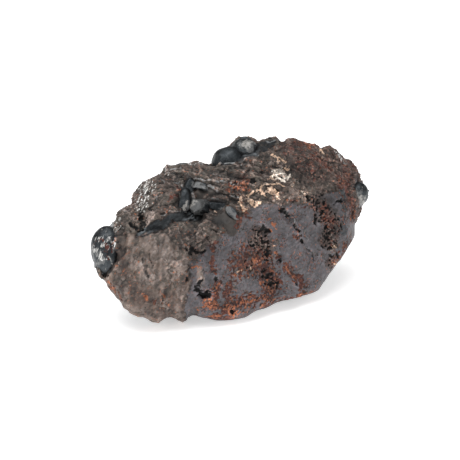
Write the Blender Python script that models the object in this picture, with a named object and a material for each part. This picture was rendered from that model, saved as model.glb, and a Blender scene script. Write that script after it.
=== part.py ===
"""Raw hematite specimen: one piece of kidney iron ore with a broken grey face.

The stone is drawn in its own drawing frame, in millimetres: across (to the right), up, and out
(towards the eye). The drawing plane leans back EYE_RISE degrees from upright, because the stone is
looked at from that height when it stands on its base. Places on the stone's front are given as the
eye sees them on the drawing plane. Last of all the stone is turned into metres, +Z up.
"""

import math

import bmesh
import bpy
import numpy as np
from mathutils import Vector, noise

MM = 0.001

# How the stone is looked at: the eye's height above the table's plane, in degrees, and its distance.
EYE_RISE = 25.0
EYE_DISTANCE = 750.0

# The middle of the drawing lies this far above the flat place that the stone stands on.
BASE_BELOW_CENTRE = 27.2

# The rim is the line round the stone where it turns away from the eye. It lies on a plane that runs
# back to the right and leans back at the top, in millimetres back for each millimetre.
RIM_BACK_RIGHT = 0.35
RIM_BACK_UP = 0.25

# How far the body swells in front of the rim and behind it. FULLNESS is 2 for an ellipse's curve,
# and more for a fuller one.
SWELL_FRONT = 27.0
SWELL_BACK = 23.0
FULLNESS = 2.5

# Away from the rim, the outline's small corners wander and fade out. The rim is evened over this
# many degrees, and the fade is in parts of a unit vector.
RIM_EVENED = 14.0
RIM_CORNERS_FADE = 0.22
RIM_CORNERS_WANDER = 0.5

# The outline's corners as they are seen, (across, up), clockwise from the left end.
OUTLINE = [
    (-53.5, -8.0), (-52.0, -0.8), (-49.2, 1.4), (-47.2, 2.2), (-46.0, 4.4), (-44.0, 8.1),
    (-40.8, 8.0), (-39.2, 11.2), (-38.4, 14.4), (-36.8, 16.4), (-34.4, 19.2), (-32.4, 20.2),
    (-27.4, 21.4), (-26.4, 25.4), (-24.0, 26.0), (-20.8, 26.6), (-16.0, 26.0), (-12.0, 27.0),
    (-10.0, 26.8), (-6.4, 28.2), (-3.2, 30.8), (2.4, 34.4), (12.6, 34.4), (19.2, 36.9),
    (21.0, 34.8), (25.6, 36.3), (29.2, 35.0), (34.4, 33.0), (36.2, 31.8), (40.0, 33.7),
    (42.4, 32.2), (45.2, 28.6), (48.0, 27.8), (51.4, 23.6), (52.0, 19.2), (53.0, 13.6),
    (51.6, 6.4), (49.6, 1.6), (49.8, -2.0), (47.6, -5.0), (44.0, -11.2), (40.4, -16.8),
    (36.8, -22.0), (35.2, -24.0), (31.2, -25.8), (24.0, -27.0), (18.6, -28.9), (12.6, -31.5),
    (8.8, -33.0), (6.4, -34.8), (0.0, -36.2), (-4.8, -36.1), (-8.8, -34.8), (-16.0, -33.4),
    (-17.6, -36.0), (-19.6, -37.0), (-23.2, -34.0), (-29.2, -36.6), (-35.2, -34.8),
    (-39.6, -33.2), (-42.4, -31.4), (-44.0, -28.0), (-47.6, -24.4), (-48.8, -21.6),
    (-52.2, -18.8), (-53.2, -15.0),
]

# Broken faces: a point on each, then how far it is turned to the right and tipped up, in degrees.
FACES = {
    "grey face": ((16.0, -10.0, 14.0), 30.0, -6.0),
    "left lobe front": ((-32.0, -18.0, 33.0), -25.0, -5.0),
    "left lobe top": ((-26.0, -6.0, 32.0), -8.0, 30.0),
    "grey face's foot": ((-6.0, -24.0, 23.0), 12.0, -16.0),
    "left shoulder": ((-20.0, 14.0, 20.0), -15.0, 40.0),
    "crown": ((12.0, 24.0, 12.0), 8.0, 26.0),
    "right shoulder": ((40.0, 22.0, 7.0), 28.0, 22.0),
    "back": ((8.0, 4.0, -26.0), 190.0, 8.0),
    "upper back": ((-10.0, 24.0, -28.0), 195.0, 42.0),
    "left back": ((-40.0, 0.0, -3.0), 235.0, 10.0),
    "lower back": ((18.0, -16.0, -24.0), 165.0, -25.0),
}
EDGE_SHARPNESS = 32.0

# Rounded domes: where each is seen, how far its centre is sunk under the stone's surface, and its
# half-widths across, up and out.
DOMES = {
    "left end": ((-48.6, -5.8), 9.0, (6.4, 7.4, 7.0)),
    "left end lower": ((-49.8, -12.4), 7.0, (5.2, 5.6, 6.0)),
    "crown left": ((-0.4, 27.4), 9.0, (5.6, 6.2, 7.0)),
    "crown right": ((6.0, 31.6), 9.0, (5.6, 5.8, 7.0)),
    "right end": ((50.8, 14.6), 6.0, (4.7, 4.8, 5.0)),
    "hollow tall": ((-18.4, 12.4), 4.0, (3.2, 5.4, 5.0)),
    "hollow broad": ((-12.2, 9.0), 5.0, (4.2, 3.6, 5.4)),
    "hollow right": ((-5.6, 9.4), 4.4, (3.4, 2.4, 4.0)),
    "hollow upper": ((-13.2, 16.6), 5.0, (4.6, 2.6, 5.6)),
    "hollow edge": ((0.8, 6.2), 4.0, (2.2, 3.4, 4.4)),
    "veined lump": ((-9.0, -0.6), 8.0, (5.4, 5.4, 9.2)),
}
DOME_SHARPNESS = 40.0

# The stone's far side is a crust of kidney domes, set in a spiral over an egg of this half-size.
KIDNEYS = 110
KIDNEY_RADIUS = (5.0, 9.0)
KIDNEY_SUNK = 4.0
KIDNEY_EGG = (54.0, 35.0, 23.0)

# Hollows: where each is seen, how far its centre stands clear of the surface, and its half-widths.
HOLLOWS = {
    "round the domes, left": ((-18.0, 13.0), 1.4, (5.4, 8.0, 5.0)),
    "round the domes, right": ((-9.0, 11.6), 1.4, (9.0, 5.4, 5.0)),
    "vug": ((-10.8, -26.4), 1.0, (2.6, 1.7, 4.5)),
    "vug's tail": ((-13.0, -23.2), 1.0, (1.1, 1.9, 2.6)),
    "slot": ((-35.2, 4.4), 1.0, (1.4, 3.4, 4.5)),
    "slot's foot": ((-37.6, 1.6), 1.0, (2.2, 1.2, 3.4)),
    "under the left end": ((-50.2, -17.0), 0.5, (1.5, 3.0, 3.0)),
    "pocket by the rim": ((0.8, -33.4), 0.5, (1.1, 1.4, 3.0)),
}

# Strokes along the front: how far each stands out (or is cut in, if less than 0), its half-width,
# and the points that it runs through.
STROKES = {
    "glossy groove": (-3.4, 2.2, [(-37.0, -1.4), (-29.0, 0.6), (-24.0, 3.0), (-17.0, 5.2), (-12.0, 5.0)]),
    "plate over the groove": (1.2, 1.6, [(-31.0, 4.6), (-24.0, 7.6), (-19.6, 8.6)]),
    "round the left end": (-2.0, 1.5, [(-46.0, 1.0), (-43.4, -4.0), (-44.6, -9.0), (-48.0, -14.6)]),
    "lobe and face": (-1.3, 2.4, [(-13.6, -9.6), (-15.4, -16.0), (-17.0, -24.0), (-15.8, -34.0)]),
    "crease": (-2.2, 2.4, [(14.0, 25.0), (23.0, 27.0), (25.6, 23.0), (31.0, 20.6), (40.0, 15.0)]),
    "right pits": (-1.6, 2.2, [(35.0, 13.6), (36.0, 6.0), (39.0, -3.0), (41.0, -12.0)]),
    "left pits": (-1.6, 1.9, [(11.0, 0.2), (15.0, -0.6), (12.4, -4.6), (15.4, -9.6), (10.4, -10.6)]),
    "orange pit": (-1.5, 1.2, [(19.6, -10.4), (20.8, -12.4)]),
    "face crack": (-1.2, 0.9, [(20.4, 8.4), (23.6, 5.6), (27.0, 1.0)]),
    "face crack's end": (-1.0, 0.9, [(28.6, -3.6), (31.2, -8.0), (33.6, -12.0)]),
    "brow over the face": (1.0, 2.0, [(-6.0, -4.0), (-2.0, 0.6), (4.6, 5.0), (14.0, 10.0), (26.0, 14.0)]),
    "rust hollow": (-1.3, 3.0, [(14.0, -14.6), (17.0, -20.0), (17.6, -27.0)]),
    "lower pocket": (-1.6, 2.0, [(25.0, -17.0), (29.6, -20.6), (29.6, -24.0)]),
    "face step": (0.9, 2.4, [(-2.0, -3.0), (-5.0, -12.0), (-4.0, -22.0)]),
    "strata, upper": (1.0, 1.2, [(-24.0, 22.4), (-12.0, 21.0), (2.0, 16.4)]),
    "strata, lower": (-1.0, 1.1, [(-17.0, 20.6), (-6.0, 16.6), (3.0, 11.6)]),
    "left shoulder step": (0.9, 1.6, [(-41.0, 4.0), (-36.6, 8.0), (-31.4, 13.6), (-25.4, 18.0)]),
    "right brow": (1.0, 2.0, [(24.0, 30.0), (33.0, 26.0), (41.0, 20.0)]),
}

# How far the strokes stray from their lines, over what scale, and how far in front of the rim they
# reach their full height.
STROKE_WANDER = 1.4
STROKE_UNEVEN_SCALE = 5.0
STROKE_FADE = 6.0

# Relief of the broken surface: the size of its lumps, and how high they and its ridges stand.
LUMP_SIZE = 9.0
LUMP_HEIGHT = 0.55
RIDGE_SIZE = 6.0
RIDGE_HEIGHT = 0.25

# The stone is shaped from a ball divided this many times, then thinned out to about so many triangles.
BALL_DETAIL = 7
FACETS = 10000
SMOOTH_BELOW = 40.0
SLIVER = 0.05


def rim_radius(angle):
    """Distance of the rim from the centre, in the drawing plane, at an angle round the outline."""
    seen = np.array(OUTLINE)
    back = seen @ (RIM_BACK_RIGHT, RIM_BACK_UP)
    real = seen * (1 + back / (EYE_DISTANCE - back))[:, None]
    corner_angle = np.arctan2(real[:, 1], real[:, 0])
    corner_radius = np.hypot(real[:, 0], real[:, 1])
    order = np.argsort(corner_angle)
    return np.interp(angle, corner_angle[order], corner_radius[order], period=math.tau)


def even_rim_radius(angle):
    """The rim's radius without its small corners: the mean over RIM_EVENED degrees to each side."""
    spread = np.radians(np.linspace(-RIM_EVENED, RIM_EVENED, 15))
    return np.mean([rim_radius(angle + turn) for turn in spread], axis=0)


def wandering(points, scale):
    """A smooth random vector for each point, of about unit length, that changes over the scale."""
    shifts = Vector((0.0, 0.0, 0.0)), Vector((31.7, 0.0, 0.0)), Vector((0.0, 47.3, 0.0))
    return np.array([[noise.noise(Vector(point) / scale + shift) for shift in shifts] for point in points])


def in_front_of_rim(points):
    return points @ (RIM_BACK_RIGHT, RIM_BACK_UP, 1.0)


def swollen_outline(way):
    """How far the body reaches along each unit vector: the outline, swollen front and back."""
    across, up, _ = way.T
    out = in_front_of_rim(way)
    angle = np.arctan2(up, across)
    wander = RIM_CORNERS_WANDER * out * wandering(way, 0.25)[:, 0]
    even = even_rim_radius(angle)
    rim = even + (rim_radius(angle + wander) - even) * np.exp(-((out / RIM_CORNERS_FADE) ** 2))
    swell = np.where(out > 0, SWELL_FRONT, SWELL_BACK)
    curve = (np.hypot(across, up) / rim) ** FULLNESS + (np.abs(out) / swell) ** FULLNESS
    return curve ** (-1 / FULLNESS)


def break_face(reach, way, point, turn, tip):
    """Breaks the body off along one plane. EDGE_SHARPNESS sets how little its edge is rounded."""
    turn, tip = math.radians(turn), math.radians(tip)
    normal = np.array((math.sin(turn) * math.cos(tip), math.sin(tip), math.cos(turn) * math.cos(tip)))
    facing = way @ normal
    plane = np.where(facing > 1e-6, (normal @ point) / np.maximum(facing, 1e-6), np.inf)
    return (reach ** -EDGE_SHARPNESS + plane ** -EDGE_SHARPNESS) ** (-1 / EDGE_SHARPNESS)


def body(way):
    """How far the plain body reaches along each unit vector, with its broken faces."""
    reach = swollen_outline(way)
    for point, turn, tip in FACES.values():
        reach = break_face(reach, way, point, turn, tip)
    return reach


def sight_line(seen, out):
    """Points of the sight line through a place on the drawing plane, at these distances out."""
    nearer = 1 - out / EYE_DISTANCE
    return np.stack([nearer * seen[0], nearer * seen[1], out], axis=-1)


def place(seen, proud):
    """The point of a sight line that stands this far proud of the plain body's front."""
    out = np.arange(60.0, -60.0, -0.1)
    line = sight_line(seen, out)
    far = np.linalg.norm(line, axis=1)
    return sight_line(seen, out[np.argmax(far < body(line / far[:, None]))] + proud)


def crossings(way, centre, half):
    """Where each ray from the stone's centre goes into an ellipsoid and out of it, 0 if it misses."""
    ray, middle = way / half, centre / half
    a, b, c = (ray**2).sum(1), ray @ middle, middle @ middle - 1
    hit = b * b > a * c
    root = np.sqrt(np.where(hit, b * b - a * c, 0))
    return np.where(hit, (b - root) / a, 0), np.where(hit, (b + root) / a, 0)


def join(reach, far):
    """The farther of two surfaces, with the valley between them a little filled."""
    return (reach**DOME_SHARPNESS + np.maximum(far, 0) ** DOME_SHARPNESS) ** (1 / DOME_SHARPNESS)


def add_dome(reach, way, seen, sunk, half):
    _, far = crossings(way, place(seen, -sunk), half)
    return join(reach, far)


def kidney_crust(reach, way):
    """Adds the domes of the far side, but for those that would show past the outline."""
    for i in range(KIDNEYS):
        depth = -(i + 0.5) / KIDNEYS
        ring = math.sqrt(1 - depth * depth)
        turn = i * math.pi * (3 - math.sqrt(5))
        aim = np.array(KIDNEY_EGG) * (ring * math.cos(turn), ring * math.sin(turn), depth)
        aim = aim / np.linalg.norm(aim)
        size = np.interp(noise.noise(Vector(aim) * 5.0), (-0.4, 0.4), KIDNEY_RADIUS)
        centre = aim * (body(aim[None])[0] - KIDNEY_SUNK)
        room = rim_radius(math.atan2(centre[1], centre[0])) - np.hypot(*centre[:2])
        if room > size and in_front_of_rim(centre) < -0.6 * size:
            _, far = crossings(way, centre, size)
            reach = join(reach, far)
    return reach


def cut_hollow(reach, way, seen, clear, half):
    near, far = crossings(way, place(seen, clear), half)
    return np.where((near < reach) & (far > reach), near, reach)


def distance_to_path(seen, path):
    """Distance of each seen place from a line through the path's points."""
    path = np.array(path)
    nearest = np.full(len(seen), np.inf)
    for start, end in zip(path[:-1], path[1:]):
        run = end - start
        along = np.clip((seen - start) @ run / (run @ run), 0, 1)
        nearest = np.minimum(nearest, np.hypot(*(seen - start - along[:, None] * run).T))
    return nearest


def draw_strokes(reach, way):
    """Draws every stroke on the front, its line and its height a little uneven."""
    points = way * reach[:, None]
    uneven = wandering(points, STROKE_UNEVEN_SCALE)
    seen = points[:, :2] / (1 - points[:, 2:] / EYE_DISTANCE) + STROKE_WANDER * uneven[:, :2]
    front = np.clip(in_front_of_rim(points) / STROKE_FADE, 0, 1) * (1 + uneven[:, 2])
    for height, width, path in STROKES.values():
        reach = reach + height * front * np.exp(-((distance_to_path(seen, path) / width) ** 2))
    return reach


def form(way):
    """How far the stone reaches from its centre along each unit vector, in millimetres."""
    reach = draw_strokes(body(way), way)
    for hollow in HOLLOWS.values():
        reach = cut_hollow(reach, way, *hollow)
    for dome in DOMES.values():
        reach = add_dome(reach, way, *dome)
    return kidney_crust(reach, way)


def roughness(point):
    """Height of the broken surface's relief at a point, in millimetres."""
    lumps = noise.fractal(Vector(point) / LUMP_SIZE, 1.0, 2.0, 4)
    ridges = noise.ridged_multi_fractal(Vector(point) / RIDGE_SIZE, 1.0, 2.0, 3, 1.0, 2.0) - 1.0
    return LUMP_HEIGHT * lumps + RIDGE_HEIGHT * ridges


def to_world(points):
    """Points of the drawing frame, in millimetres, as the stone stands: metres, +Z up."""
    rise = math.radians(EYE_RISE)
    across, up, out = points.T
    deep = up * math.sin(rise) - out * math.cos(rise)
    high = up * math.cos(rise) + out * math.sin(rise) + BASE_BELOW_CENTRE
    return np.stack([across, deep, high], axis=1) * MM


def shaped_ball(detail):
    """A finely divided ball, with every corner moved to the stone's surface."""
    ball = bmesh.new()
    bmesh.ops.create_icosphere(ball, subdivisions=detail, radius=1.0)
    way = np.array([v.co.normalized() for v in ball.verts])
    points = way * form(way)[:, None]
    points += way * np.array([roughness(p) for p in points])[:, None]
    for vert, spot in zip(ball.verts, to_world(points)):
        vert.co = spot
    mesh = bpy.data.meshes.new("hematite")
    ball.to_mesh(mesh)
    ball.free()
    return mesh


def thin_out(stone, facets):
    """Leaves about as many triangles as asked for, the fewest where the stone is plainest."""
    thin = stone.modifiers.new("thin out", "DECIMATE")
    thin.ratio = facets / len(stone.data.polygons)
    lean = stone.evaluated_get(bpy.context.evaluated_depsgraph_get())
    mesh = bpy.data.meshes.new_from_object(lean)
    stone.modifiers.remove(thin)
    stone.data = mesh


def cut_base(stone):
    """Cuts the stone flat where it stands, and closes the cut."""
    solid = bmesh.new()
    solid.from_mesh(stone.data)
    everything = solid.verts[:] + solid.edges[:] + solid.faces[:]
    cut = bmesh.ops.bisect_plane(
        solid, geom=everything, dist=1e-6, plane_co=(0, 0, 0), plane_no=(0, 0, -1), clear_outer=True
    )
    corners = [v for v in cut["geom_cut"] if isinstance(v, bmesh.types.BMVert)]
    bmesh.ops.remove_doubles(solid, verts=corners, dist=SLIVER * MM)
    edges = [e for e in solid.edges if e.is_boundary]
    bmesh.ops.triangle_fill(solid, edges=edges, use_beauty=True, normal=(0, 0, -1))
    solid.to_mesh(stone.data)
    solid.free()


def stone_material():
    mat = bpy.data.materials.new("hematite")
    mat.use_nodes = True
    shader = mat.node_tree.nodes["Principled BSDF"]
    shader.inputs["Base Color"].default_value = (0.075, 0.062, 0.056, 1.0)
    shader.inputs["Roughness"].default_value = 0.55
    shader.inputs["Metallic"].default_value = 0.25
    return mat


def main(detail=BALL_DETAIL, facets=FACETS):
    for obj in list(bpy.data.objects):
        bpy.data.objects.remove(obj)
    stone = bpy.data.objects.new("hematite", shaped_ball(detail))
    bpy.context.scene.collection.objects.link(stone)
    thin_out(stone, facets)
    cut_base(stone)
    stone.data.materials.append(stone_material())
    stone.data.shade_smooth()
    stone.data.set_sharp_from_angle(angle=math.radians(SMOOTH_BELOW))
    return stone


if __name__ == "__main__":
    main()
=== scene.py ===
"""Looks of the hematite specimen.

The stone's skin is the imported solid, divided finely and given the relief, stains and gloss that the
solid is too coarse for. The glossy domes on its front are pieces of their own, and grains lie on the
skin. Places on the front are given as the photograph's eye sees them, in millimetres right of and
above the middle of its view.
"""

import math

import bmesh
import bpy
import numpy as np
from mathutils import Matrix, Vector, noise
from mathutils.bvhtree import BVHTree


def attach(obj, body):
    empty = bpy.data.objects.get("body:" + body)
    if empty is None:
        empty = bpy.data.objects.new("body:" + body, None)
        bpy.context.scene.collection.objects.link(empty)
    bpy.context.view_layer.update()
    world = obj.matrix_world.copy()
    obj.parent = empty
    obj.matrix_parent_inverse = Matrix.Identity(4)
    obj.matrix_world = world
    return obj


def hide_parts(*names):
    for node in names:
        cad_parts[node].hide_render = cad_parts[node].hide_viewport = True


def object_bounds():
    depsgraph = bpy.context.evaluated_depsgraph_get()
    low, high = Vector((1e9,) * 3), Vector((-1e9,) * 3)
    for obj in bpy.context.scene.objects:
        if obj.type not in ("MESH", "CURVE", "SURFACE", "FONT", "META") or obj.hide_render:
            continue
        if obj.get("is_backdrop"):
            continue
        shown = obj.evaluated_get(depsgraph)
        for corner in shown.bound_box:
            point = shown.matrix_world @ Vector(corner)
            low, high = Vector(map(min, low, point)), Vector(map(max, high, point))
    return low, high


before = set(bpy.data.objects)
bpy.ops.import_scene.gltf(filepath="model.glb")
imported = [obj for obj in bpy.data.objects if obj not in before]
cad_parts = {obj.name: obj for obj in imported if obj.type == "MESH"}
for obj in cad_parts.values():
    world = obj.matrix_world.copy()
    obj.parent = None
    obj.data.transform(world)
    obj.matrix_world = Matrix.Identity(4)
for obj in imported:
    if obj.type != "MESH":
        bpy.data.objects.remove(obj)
CAD_LOW, CAD_HIGH = (np.array(corner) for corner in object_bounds())

bl_info = {
    "name": "Hematite specimen",
    "version": (1, 0, 0),
    "blender": (4, 5, 0),
    "location": "3D View > Sidebar > Hematite",
    "description": "Dresses the packed solid of a hematite specimen and sets up its studio",
    "category": "Object",
}

MM = 0.001
NODE = "hematite"

# The photograph's eye, and the middle of its view above the place that the stone stands on.
EYE_RISE = math.radians(25)
EYE_DISTANCE = 750.0
VIEW_MIDDLE = 27.2
VIEW_WIDTH = 184.0

# The directions right, up and towards the eye in that view.
SIGHT = np.array([
    (1, 0, 0), (0, math.sin(EYE_RISE), math.cos(EYE_RISE)), (0, -math.cos(EYE_RISE), math.sin(EYE_RISE)),
])

# The line round the stone where it turns away from the eye lies on a plane that goes back this far
# for each millimetre to the right, and for each millimetre up.
RIM_BACK_RIGHT = 0.35
RIM_BACK_UP = 0.25

# How far inside the solid's box points are eased towards it.
BOX_EASE = 0.25

# Below this height the relief fades out, so that the stone still rests on its flat underside.
GROUND_BLEND = 1.5

# Smoothing draws each point towards its neighbours by the first share, and then pushes it away from them
# by the second, which keeps the shape's size.
EASE_IN = 0.5
EASE_OUT = -0.52

# The weathered front ends this far behind the rim. Its edge strays by the second length, and reaches over
# the crust at the back in lobes: their size, how long they get, and how readily they start.
FRONT_REACH = 1.5
FRONT_STRAY = 1.5
LOBE_SIZE = 13
LOBE_LENGTH = 22
LOBE_START = 0.15

# Ruddy patches all over: their size, how sharply they stand out, and how far they are held back.
RUDDY_SIZE = 7.0
RUDDY_CONTRAST = 2.4
RUDDY_LEVEL = 0.15

# How softly an area and the crust at the back end, and how much of the stray of their edges is fine.
AREA_EDGE = 1.5
CRUST_EDGE = 2.5
FINE_STRAY = 0.4

# How far the middle line of a mark wanders, and over what size. Outside a mark its depth, in widths,
# falls this many times as fast, and past the last depth nothing of it shows.
MARK_WANDER = 1.5
WANDER_SIZE = 4.5
MARK_FALL = 3
MARK_END = -2.5

# Marks keep to the front: they end this far behind the rim, and fade where the skin turns away from the
# eye, from the second of these shares to the first.
MARKS_REACH = 1.5
MARKS_FADE = (0.02, 0.25)

# Kinds of surface on the front: the corners of each, and how far its edge strays.
AREAS = {
    "top": (2.5, [
        (2, 14), (6, 24), (12, 34), (22, 36), (24, 28), (27, 21), (30, 19), (22, 15), (12, 10), (6, 8),
    ]),
    "shoulder": (1.4, [
        (22, 44), (30, 44), (42, 38), (50, 32), (58, 22), (58, 6), (47, 3), (46, 12), (42, 17.6), (35, 20),
        (28, 21), (25, 23), (22.4, 27), (20, 34),
    ]),
    "lobe": (1.4, [
        (-47, -3), (-43, -1.6), (-38, -2), (-32, -0.8), (-25, -2.4), (-20, -6.4), (-17.6, -8.8), (-16, -13),
        (-16, -18), (-15.6, -23), (-17.6, -26), (-18.4, -32), (-17, -40), (-30, -44), (-44, -38), (-56, -22),
        (-52, -17), (-48, -13), (-47, -9),
    ]),
    "face": (1.1, [
        (-17, -40), (-18.4, -32), (-17.6, -26), (-15.6, -23), (-16, -18), (-16, -13), (-12.8, -10.4),
        (-10, -8.8), (-6.4, -6.4), (-3.2, -2.4), (1.6, 0), (4, 3), (5.6, 6.8), (10.4, 9.6), (15, 10.6),
        (22, 9.8), (28, 10), (32, 11.5), (35, 14), (40, 15), (45, 14), (48, 8),
        (49, 3.2), (56, 4), (58, -10), (40, -36), (0, -46),
    ]),
}

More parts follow.
